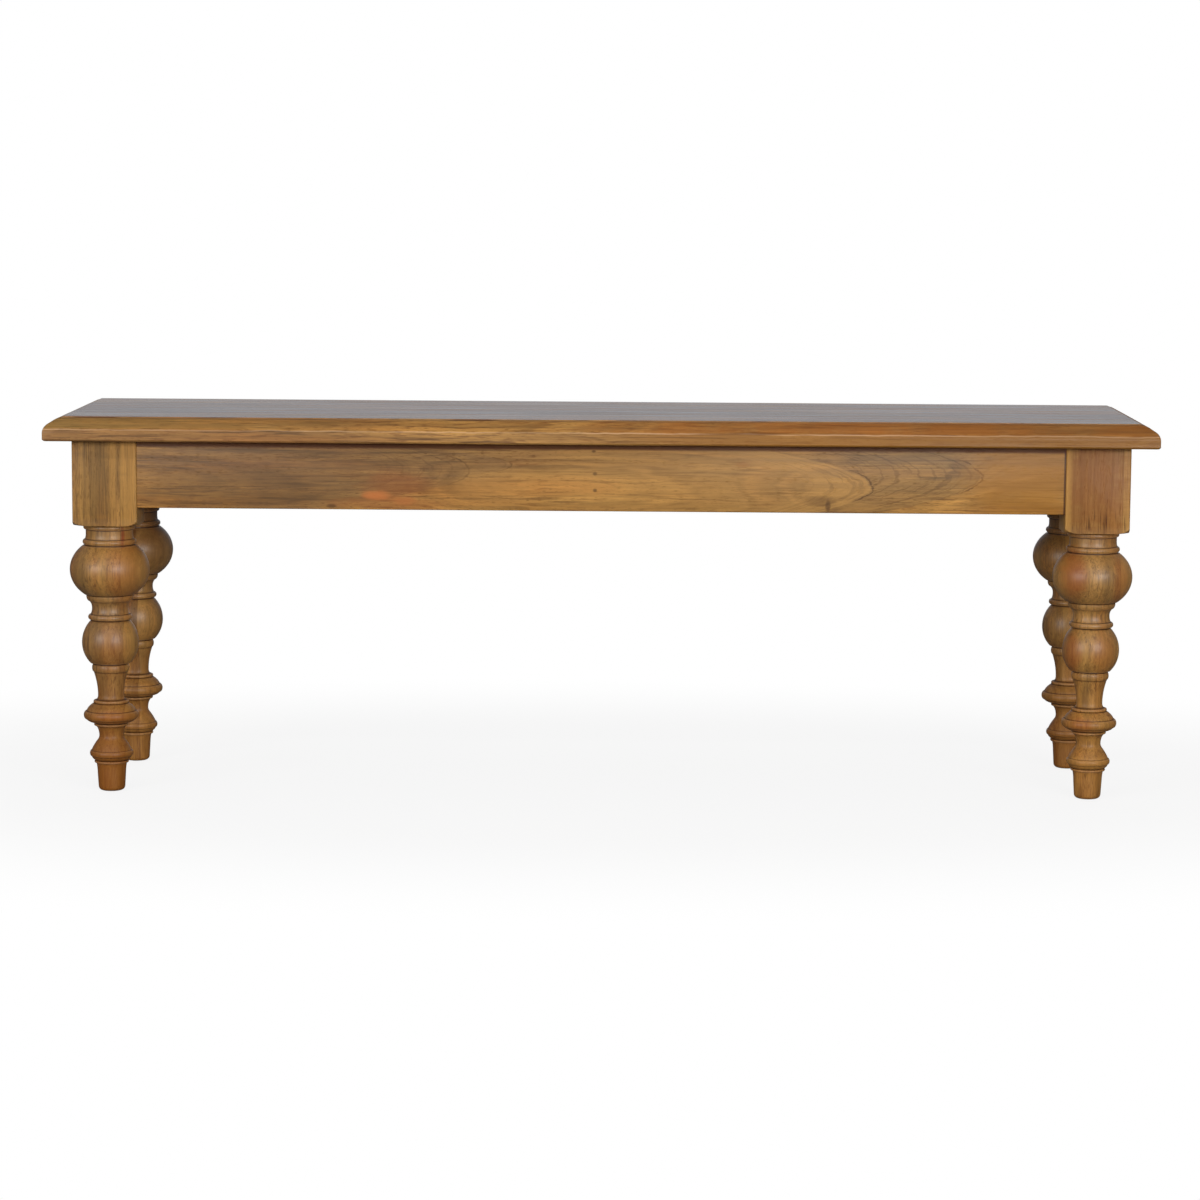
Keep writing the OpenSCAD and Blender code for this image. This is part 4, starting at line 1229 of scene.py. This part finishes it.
# Arches: tip, how sharp it is, height, share of its lines, tone inside, length, share of the tone.
APRON_ARCHES = (
    ((0.446, 0.386), 65, 0.024, 0.8, OLIVE, 0.20, 0.34),
    ((0.319, 0.373), 70, 0.022, 0.6, BRIGHT, 0.10, 0.6),
    ((-0.104, 0.396), 300, 0.014, 0.5, UMBER, 0.05, 0.3),
    ((-0.153, 0.389), 90, 0.022, 0.6, UMBER, 0.14, 0.28),
)
ECHO_PITCH = 5 * MM
APRON_MARKS = (
    (-400, 382, 170, 60, UMBER, 0.54),
    (-170, 392, 80, 26, UMBER, 0.18),
    (-238, 371, 46, 20, RUSSET, 0.45),
    (-250, 350, 80, 9, RUSSET, 0.50),
    (-263, 359, 19, 6.5, AMBER, 0.85),
    (-231, 353, 18, 6, AMBER, 0.40),
    (-316, 346, 7, 3, KNOT, 0.60),
    (370, 384, 60, 28, OLIVE, 0.12),
    (256, 356, 22, 7, KNOT, 0.45),
    (266.5, 350.5, 3.5, 9, KNOT, 0.6),
    (300, 350, 30, 8, BRIGHT, 0.4),
    (166.5, 398, 10, 4, RUSSET, 0.45),
    (-8.1, 412.5, 3, 1.8, KNOT, 1.0),
    (-6.5, 386.3, 3.2, 2.6, KNOT, 1.0),
    (-6.4, 366.7, 3.2, 2.6, KNOT, 1.0),
    (40, 382, 130, 70, BRIGHT, 0.35),
    (500, 385, 85, 65, GOLDEN, 0.7),
    (180, 382, 90, 60, BRIGHT, 0.35),
    (-140, 366, 70, 40, BRIGHT, 0.35),
)
APRON_LOOK = {
    "pith": (-0.19, 0.372), "lean": (0.0, -0.012), "ring": 0.0055, "seed": 1.3, "eyes": APRON_EYES,
    "banded": 0.4, "patchy": 0.5, "veined": 0.3, "lined": 1.2, "flecked": 0.4,
}
# A dark joint line beside the right block, and painted shadow under the seat's lip: their reach and share.
JOINT_STAIN, LIP_SHADOW, STAIN_AND_SHADOW_SHARE = 2.8 * MM, 9.5 * MM, 0.85
APRON_SWAY, TIP_FADE, LINE_FADE = 0.016, (-0.006, 0.001), (0.3 * MM, 2.4 * MM)


def marked_apron(name, look, marks, arches):
    f = Finish(name, **VARNISH)
    x, y, z = f.place()
    made = wood(f, x, y, z, {**HONEY, **look})
    tone = made["tone"]
    sway = f.noise(x * 60, z * 110, 3.0, detail=3, roughness=0.6).swing(APRON_SWAY)
    for (tip_x, tip_z), sharpness, high, line_share, inner, length, inner_share in arches:
        up = z - tip_z
        beyond = x - tip_x + up * up * sharpness + sway
        inside = (1 - f.ramp(beyond, *TIP_FADE)) * f.ramp(beyond, -length, -length / 2)
        echo = f.ramp(f.noise(beyond / ECHO_PITCH, x * 9, z * 30, detail=2), 0.5, 0.66)
        line = (1 - f.ramp(abs(beyond), *LINE_FADE)) * (1 - f.ramp(abs(up), high * 0.6, high))
        line = line * f.ramp(made["feather"], 0.3, 0.5) + echo * inside * 0.4
        inner = f.shade(inner[:3], made["streak"] + 0.5)
        tone = f.stain(tone, (inside * inner_share, inner), (line * line_share, STAIN_AND_SHADE))
    joint = f.ramp(x, BLOCK_INNER_X - JOINT_STAIN, BLOCK_INNER_X - JOINT_STAIN / 2)
    # painted shadow under the seat's lip
    lip_shadow = f.ramp(z, UNDERSIDE - LIP_SHADOW, UNDERSIDE - LIP_SHADOW * 0.65)
    made["tone"] = f.stain(
        spotted(f, tone, x, z, marks), (joint * STAIN_AND_SHADOW_SHARE, STAIN_AND_SHADE), (lip_shadow * STAIN_AND_SHADOW_SHARE, PAINTED_SHADOW_TONE)
    )
    return feed(f, made)


front_finish = marked_apron("apron_front", APRON_LOOK, APRON_MARKS, APRON_ARCHES)
print("front apron:", len(front_finish.node_tree.nodes), "nodes")

# %% Set the aprons between the blocks
END_EASE = 0.3 * MM
rear_finish = board_finish("apron_rear", "X", pith=(0.20, 0.40), lean=(0.0, 0.02), seed=7.7)

for name, side, material in (("apron_front", -1, front_finish), ("apron_rear", 1, rear_finish)):
    faces = sorted((side * APRON_INNER_Y, side * APRON_OUTER_Y))
    corners = (-BLOCK_INNER_X, faces[0], APRON_BOTTOM), (BLOCK_INNER_X, faces[1], UNDERSIDE)
    settle(plank(*corners, END_EASE, APRON_EASE), name, material)

for name, side in (("apron_left", -1), ("apron_right", 1)):
    faces = sorted((side * APRON_INNER_X, side * APRON_OUTER_X))
    corners = (faces[0], -BLOCK_INNER_Y, APRON_BOTTOM), (faces[1], BLOCK_INNER_Y, UNDERSIDE)
    material = board_finish(name, "Y", pith=(side * 0.70, 0.37), lean=(0.05, 0.0), seed=4.4 + side)
    settle(plank(*corners, END_EASE, APRON_EASE), name, material)
print("aprons set")

# %% [markdown]
# ## Under the seat
# Turned over, the bench shows how it is held together: a brace across each corner, cleats along
# the long aprons and a rail across the middle, all of paler wood left as the saw cut it. Saw
# marks run across the grain as fine, slightly uneven ridges, and raw wood has no gloss.

# %% Finish of sawn wood
RAW = {
    "light": colour(205, 172, 122),
    "dull": colour(184, 150, 104),
    "dark": colour(160, 118, 74),
    "vein": colour(120, 84, 50),
    "warm": colour(196, 148, 96),
}
SAW_PITCH, SAW_SLANT, SAW_DRIFT = 3.2 * MM, (90, 60), 2.5
RAW_ROUGHNESS, SAW_DEPTH = 0.74, 0.25 * MM


def sawn_finish(name, grain, **look):
    """Raw wood with saw marks: grain is an axis, or the two signs of a corner brace's diagonal."""
    f = Finish(name, Specular_IOR_Level=0.3)
    x, y, z = f.place()
    if isinstance(grain, str):
        along, u, v = across_grain(grain, x, y, z)
    else:
        half = math.sqrt(0.5)
        along, u, v = (x * grain[0] - y * grain[1]) * half, (x * grain[0] + y * grain[1]) * half, z
    made = wood(f, along, u, v, {**RAW, "porous": 0.3, "patchy": 0.35, "ring": 0.004, **look})
    drift = f.noise(along * 20, u * 3, v * 3) * SAW_DRIFT
    mark = (along * (2 * math.pi / SAW_PITCH) + u * SAW_SLANT[0] + v * SAW_SLANT[1] + drift).sine()
    mark = mark * 0.5 + 0.5
    made["tone"] = f.shade(made["tone"], mark * 0.07 + 0.95)
    made["relief"] = made["relief"] + mark * 0.8
    return feed(f, made, RAW_ROUGHNESS, SAW_DEPTH)


print("saw marks every", round(SAW_PITCH / MM, 1), "mm")

# %% [markdown]
# A hole is cut by subtracting a turned shape, as a drill or a countersink would leave it.
# Everything that goes through or into the wood is placed by the spot of its head and the
# direction in which it points.

# %% Aim and drill
SCREW_R, SCREW_HEAD_R, SCREW_PLAY = 2 * MM, 4 * MM, 0.1 * MM
BOLT_R, BOLT_PLAY = 4 * MM, 0.5 * MM
OVER = 2 * MM


def aim(spot, direction):
    """A matrix that brings a piece made along +Z to a spot and points it in a direction."""
    return Matrix.Translation(spot) @ Vector(direction).to_track_quat("Z", "Y").to_matrix().to_4x4()


def drill(piece, places, outline):
    """Cuts the same hole at several places in one go."""
    cut(piece, joined_copies(turned("bit", outline, steps=24), places), "DIFFERENCE")


def screw_hole(length, sink=0.0):
    """Outline of the hole for a countersunk screw, with room above a sunk head."""
    r, head_r, top = SCREW_R + SCREW_PLAY, SCREW_HEAD_R + SCREW_PLAY, -sink * 3 - OVER
    return [(0, top), (head_r, top), (head_r, 0), (r, head_r - r), (r, length), (0, length)]


print("holes for screws of radius", SCREW_R)

# %% [markdown]
# A brace is a board set across the corner, cut off along the two aprons. A plain board is
# turned by 45 degrees and its ends are cut away by three planes. Two bolts run through it into
# the leg, and two screws at each end go into the aprons.

# %% The four corner braces
BRACE_HEIGHT, BRACE_THICKNESS, BRACE_GAP, NOSE_GAP = 64 * MM, 18 * MM, 3 * MM, 2 * MM
BRACE_SCREW_SINK = 4 * MM
BOLT_PITCH, BRACE_SCREW_PITCH = 32 * MM, 40 * MM
BRACE_Z = UNDERSIDE - BRACE_HEIGHT / 2
BRACE_OUTER_D = LEG_FLAT_DEPTH - BRACE_GAP
BRACE_INNER_D = BRACE_OUTER_D - BRACE_THICKNESS
BRACE_SUM = BLOCK_INNER_X + BLOCK_INNER_Y + BRACE_INNER_D * math.sqrt(2)
BRACE_OUTER_SUM = BRACE_SUM + BRACE_THICKNESS * math.sqrt(2)
BRACE_NOSE_Y = max(NOSE_GAP, BRACE_SUM - APRON_INNER_X)
BRACE_END_X = (BRACE_SUM + BRACE_OUTER_SUM) / 2 - APRON_INNER_Y
BRACE_END_Y = (BRACE_NOSE_Y + BRACE_OUTER_SUM - APRON_INNER_X) / 2
BRACE_HEAD_X = BRACE_SUM - BRACE_END_Y + BRACE_SCREW_SINK
BRACE_HEAD_Y = BRACE_SUM - BRACE_END_X + BRACE_SCREW_SINK
BRACE_SCREW_LENGTH, CLEAT_SCREW_LENGTH, SEAT_SCREW_LENGTH = 25 * MM, 30 * MM, 38 * MM
BRACE_BLANK_LENGTH = 0.3
EASE = 0.6 * MM
QUARTERS = {"front_left": (-1, -1), "front_right": (1, -1), "rear_left": (-1, 1), "rear_right": (1, 1)}


def on_diagonal(sides, d, z):
    """A point on the diagonal through a block's inner corner, and the outward direction."""
    step = d * math.sqrt(0.5)
    spot = Vector((sides[0] * (BLOCK_INNER_X + step), sides[1] * (BLOCK_INNER_Y + step), z))
    return spot, Vector((sides[0], sides[1], 0)).normalized()


def brace_screw_places(sides):
    for z in (BRACE_Z - BRACE_SCREW_PITCH / 2, BRACE_Z + BRACE_SCREW_PITCH / 2):
        yield aim((sides[0] * BRACE_END_X, sides[1] * BRACE_HEAD_Y, z), (0, sides[1], 0))
        yield aim((sides[0] * BRACE_HEAD_X, sides[1] * BRACE_END_Y, z), (sides[0], 0, 0))


def bolt_places(sides, d):
    for z in (BRACE_Z - BOLT_PITCH / 2, BRACE_Z + BOLT_PITCH / 2):
        yield aim(*on_diagonal(sides, d, z))


def corner_brace(sides):
    middle, outwards = on_diagonal(sides, (BRACE_OUTER_D + BRACE_INNER_D) / 2, BRACE_Z)
    brace = cube((BRACE_THICKNESS, BRACE_BLANK_LENGTH, BRACE_HEIGHT))
    brace.data.transform(Matrix.Translation(middle) @ rotation(math.atan2(outwards.y, outwards.x), "Z"))
    mode("EDIT")
    slice_off((0, sides[1] * APRON_INNER_Y, 0), (0, sides[1], 0))
    slice_off((sides[0] * APRON_INNER_X, 0, 0), (sides[0], 0, 0))
    slice_off((0, sides[1] * NOSE_GAP, 0), (0, -sides[1], 0))
    close_up()
    hole_r, length = BOLT_R + BOLT_PLAY, BRACE_THICKNESS + 2 * OVER
    through = [(0, 0), (hole_r, 0), (hole_r, length), (0, length)]
    drill(brace, bolt_places(sides, BRACE_INNER_D - OVER), through)
    drill(brace, brace_screw_places(sides), screw_hole(BRACE_SCREW_LENGTH, BRACE_SCREW_SINK))
    ease_edges(brace, EASE, segments=1, degrees=40)
    smooth(brace, 35)
    return brace


for corner_name, sides in QUARTERS.items():
    name = "corner_brace_" + corner_name
    shift = sides[0] * 0.06 + sides[1] * 0.04
    brace = corner_brace(sides)
    finish = sawn_finish(name, sides, pith=(0.36 + shift, 0.34), seed=20 + shift * 50, lean=(0.03, 0.05))
    settle(brace, name, finish)
    print(name, len(brace.data.polygons), "faces")

# %% Cleats and the rail
CLEAT_LENGTH, CLEAT_WIDTH, CLEAT_HEIGHT = 180 * MM, 18 * MM, 20 * MM
RAIL_WIDTH, RAIL_HEIGHT, HOUSING = 40 * MM, 45 * MM, 6 * MM
CLEAT_X = (RAIL_WIDTH / 2 + BRACE_END_X) / 2
CLEAT_SCREW_Z = UNDERSIDE - CLEAT_HEIGHT / 2
SEAT_SCREW_Y, SEAT_SCREW_Z = APRON_INNER_Y - CLEAT_WIDTH / 2, UNDERSIDE - CLEAT_HEIGHT
RAIL_SCREW_YS = (-SEAT_SCREW_Y, -BOARD_WIDTH / 2, BOARD_WIDTH / 2, SEAT_SCREW_Y)


def cleat_screw_places(sides):
    for step in (-CLEAT_LENGTH / 3, CLEAT_LENGTH / 3):
        spot = (sides[0] * (CLEAT_X + step), sides[1] * (APRON_INNER_Y - CLEAT_WIDTH), CLEAT_SCREW_Z)
        yield aim(spot, (0, sides[1], 0))


def cleat_seat_screw_places(sides):
    for step in (-CLEAT_LENGTH / 6, CLEAT_LENGTH / 6):
        yield aim((sides[0] * (CLEAT_X + step), sides[1] * SEAT_SCREW_Y, SEAT_SCREW_Z), (0, 0, 1))


def rail_screw_places():
    return [aim((0, y, SEAT_SCREW_Z), (0, 0, 1)) for y in RAIL_SCREW_YS]


for corner_name, sides in QUARTERS.items():
    name = "seat_cleat_" + corner_name
    xs = sorted(sides[0] * (CLEAT_X + step) for step in (-CLEAT_LENGTH / 2, CLEAT_LENGTH / 2))
    ys = sorted(sides[1] * y for y in (APRON_INNER_Y, APRON_INNER_Y - CLEAT_WIDTH))
    cleat = plank((xs[0], ys[0], UNDERSIDE - CLEAT_HEIGHT), (xs[1], ys[1], UNDERSIDE), EASE)
    drill(cleat, cleat_screw_places(sides), screw_hole(CLEAT_SCREW_LENGTH))
    drill(cleat, cleat_seat_screw_places(sides), screw_hole(SEAT_SCREW_LENGTH))
    smooth(cleat, 35)
    finish = sawn_finish(name, "X", pith=(0.3 * sides[1], 0.5), seed=31 + sides[0] + sides[1] * 2)
    settle(cleat, name, finish)

rail_end = APRON_INNER_Y + HOUSING
rail_low = (-RAIL_WIDTH / 2, -rail_end, UNDERSIDE - RAIL_HEIGHT)
rail = plank(rail_low, (RAIL_WIDTH / 2, rail_end, UNDERSIDE), EASE)
drill(rail, rail_screw_places(), screw_hole(SEAT_SCREW_LENGTH, (RAIL_HEIGHT - CLEAT_HEIGHT) / 3))
smooth(rail, 35)
settle(rail, "centre_rail", sawn_finish("centre_rail", "Y", pith=(0.2, 0.3), seed=40))
print("cleats and rail:", len(rail.data.polygons), "faces in the rail")

# %% [markdown]
# ## Bolts and screws
# A hanger bolt has a wood thread in the leg and a fine thread with a nut and washer on the
# other end. Threads are modelled as close rings, which at this size can't be told from a helix
# and keep the shape closed. Nuts are six-sided blanks with both faces turned to a chamfer.

# %% Metal finishes
SCRATCH_DEPTH = 0.02 * MM


def metal_finish(name, plain, dull, roughness):
    """Plated steel: an even sheen with cloudy dull patches and fine scratches."""
    f = Finish(name, Metallic=1.0)
    x, y, z = f.place()
    cloud = f.ramp(f.noise(x * 160, y * 160, z * 160, detail=3), 0.4, 0.65)
    scratch = f.noise(x * 900, y * 2600, z * 2600, detail=2, roughness=0.7)
    tone = f.shade(f.mix(cloud * 0.7, plain, dull), scratch * 0.25 + 0.86)
    made = {"tone": tone, "gloss": cloud * 0.16 + scratch * 0.12, "relief": scratch + cloud * 0.5}
    return feed(f, made, roughness, SCRATCH_DEPTH)


steel = metal_finish("zinc_plated_steel", colour(176, 180, 184), colour(132, 136, 140), 0.26)
zinc = metal_finish("yellow_zinc", colour(196, 172, 112), colour(150, 128, 84), 0.28)
print("metals:", steel.name, zinc.name)


# %% Threads
def thread(start, end, r, depth, pitch, taper_to=None):
    """Ridges of a thread along Z, from radius r, drawn in to taper_to where one is given."""
    count = int((end - start) / pitch)
    points = []
    for i in range(count):
        z = start + (end - start) * i / count
        crest = r if taper_to is None else between(r, taper_to, i / count)
        points += [(crest - depth, z), (crest, z + pitch * 0.5)]
    return points


def many(name, source, places, material):
    """One piece made of copies of a small part, each its own closed shape."""
    piece = joined_copies(source, places)
    smooth(piece)
    settle(piece, name, material)
    print(name, len(places), "copies,", len(piece.data.polygons), "faces")


def in_quarters(places, *extra):
    return [place for sides in QUARTERS.values() for place in places(sides, *extra)]


print("small parts are set out in", list(QUARTERS))

# %% Hanger bolts, washers and nuts
WASHER_R, WASHER_HOLE_R, WASHER_T = 11 * MM, 4.25 * MM, 1.8 * MM
NUT_FLATS, NUT_HEIGHT, BOLT_TAIL = 13 * MM, 6.5 * MM, 3 * MM
BOLT_WOOD_LENGTH = 45 * MM
MACHINE_THREAD, WOOD_THREAD, TIP_THREAD = (0.6 * MM, 1.25 * MM), (1 * MM, 2.8 * MM), (0.8 * MM, 2.8 * MM)
TIP_R, CHAMFER = 1.2 * MM, 0.35 * MM
WASHER_D = BRACE_INNER_D - WASHER_T
NUT_D = WASHER_D - NUT_HEIGHT
BOLT_D = NUT_D - BOLT_TAIL

machine_end = LEG_FLAT_DEPTH - BOLT_D
bolt_length = machine_end + BOLT_WOOD_LENGTH
tip_start = bolt_length - 3 * BOLT_R
bolt_outline = [(0, 0), (BOLT_R - 3 * CHAMFER, 0), (BOLT_R - 2 * CHAMFER, CHAMFER)]
bolt_outline += thread(CHAMFER * 2, machine_end, BOLT_R, *MACHINE_THREAD)
bolt_outline += thread(machine_end, tip_start, BOLT_R, *WOOD_THREAD)
bolt_outline += thread(tip_start, bolt_length - MM, BOLT_R, *TIP_THREAD, taper_to=TIP_R)
bolt_outline += [(0, bolt_length)]
bolt = turned("bolt", bolt_outline, steps=24)
many("hanger_bolts", bolt, in_quarters(bolt_places, BOLT_D), steel)

hole_chamfer = [(WASHER_HOLE_R, CHAMFER), (WASHER_HOLE_R + CHAMFER, 0)]
low_side = hole_chamfer + [(WASHER_R - CHAMFER, 0), (WASHER_R, CHAMFER)]
washer_outline = low_side + [(r, WASHER_T - z) for r, z in reversed(low_side)] + low_side[:1]
washer = turned("washer", washer_outline, steps=48)
many("bolt_washers", washer, in_quarters(bolt_places, WASHER_D), steel)

nothing_selected()
corner_r, face_r = NUT_FLATS / math.sqrt(3), NUT_FLATS / 2 * 0.96
bpy.ops.mesh.primitive_cylinder_add(vertices=6, radius=corner_r, depth=NUT_HEIGHT)
nut = bpy.context.object
nut.data.transform(Matrix.Translation((0, 0, NUT_HEIGHT / 2)))
drop = (corner_r - face_r) * math.tan(math.radians(30))
chamfered = [(0, 0), (face_r, 0), (corner_r * 1.01, drop), (corner_r * 1.01, NUT_HEIGHT - drop)]
cut(nut, turned("chamfer", chamfered + [(face_r, NUT_HEIGHT), (0, NUT_HEIGHT)], steps=48), "INTERSECT")
bore_r = BOLT_R + SCREW_PLAY
mouth = bore_r + 2 * CHAMFER
bore = [(0, -MM), (mouth, -MM), (mouth, 0), (bore_r, 2 * CHAMFER), (bore_r, NUT_HEIGHT - 2 * CHAMFER)]
bore += [(mouth, NUT_HEIGHT), (mouth, NUT_HEIGHT + MM), (0, NUT_HEIGHT + MM)]
cut(nut, turned("bore", bore, steps=32), "DIFFERENCE")
many("bolt_nuts", nut, in_quarters(bolt_places, NUT_D), steel)

# %% [markdown]
# The screws are countersunk, with a cross recess for the driver. The recess is cut by two
# narrow wedges set across each other, deeper at the middle than at the ends of the cross.

# %% Wood screws
RECESS_WIDTH, RECESS_REACH, RECESS_DEPTH = 0.9 * MM, 2.3 * MM, 1.7 * MM
RECESS_TAPER, RECESS_ANGLE = (0.35, 0.8), 0.3
HEAD_DIP, SCREW_RIM, SCREW_THREAD = 0.1 * MM, 0.15 * MM, (0.55 * MM, 1.8 * MM)


def recess_wedge(angle):
    wedge = cube((2 * RECESS_REACH, RECESS_WIDTH, 2 * RECESS_DEPTH))
    pick(wedge, "FACE", lambda p: p.normal.z > 0.9)
    bpy.ops.transform.resize(value=(*RECESS_TAPER, 1))
    mode("OBJECT")
    wedge.data.transform(rotation(angle, "Z"))
    return wedge


def wood_screw(length):
    rim_r, core_r = SCREW_HEAD_R - SCREW_RIM, SCREW_R * 0.85
    outline = [(0, HEAD_DIP), (rim_r - 2 * SCREW_RIM, HEAD_DIP), (rim_r, SCREW_RIM), (rim_r, 2 * SCREW_RIM)]
    outline += [(SCREW_R, SCREW_HEAD_R - SCREW_R), (core_r, length * 0.3)]
    outline += thread(length * 0.32, length - 2 * SCREW_R, SCREW_R, *SCREW_THREAD)
    outline += [(SCREW_R * 0.5, length - SCREW_R), (0, length)]
    screw = turned("screw", outline, steps=20)
    for angle in (RECESS_ANGLE, RECESS_ANGLE + math.pi / 2):
        cut(screw, recess_wedge(angle), "DIFFERENCE")
    return screw


for name, length, places in (
    ("brace_screws", BRACE_SCREW_LENGTH, in_quarters(brace_screw_places)),
    ("cleat_screws", CLEAT_SCREW_LENGTH, in_quarters(cleat_screw_places)),
    ("seat_screws", SEAT_SCREW_LENGTH, in_quarters(cleat_seat_screw_places) + rail_screw_places()),
):
    many(name, wood_screw(length), places, zinc)

# %% The sizes of the CAD model and of the dressed bench
dressed_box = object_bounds()
boxes = {"cad": cad_box, "visual": dressed_box}
{name: [list(corner) for corner in box] for name, box in boxes.items()}
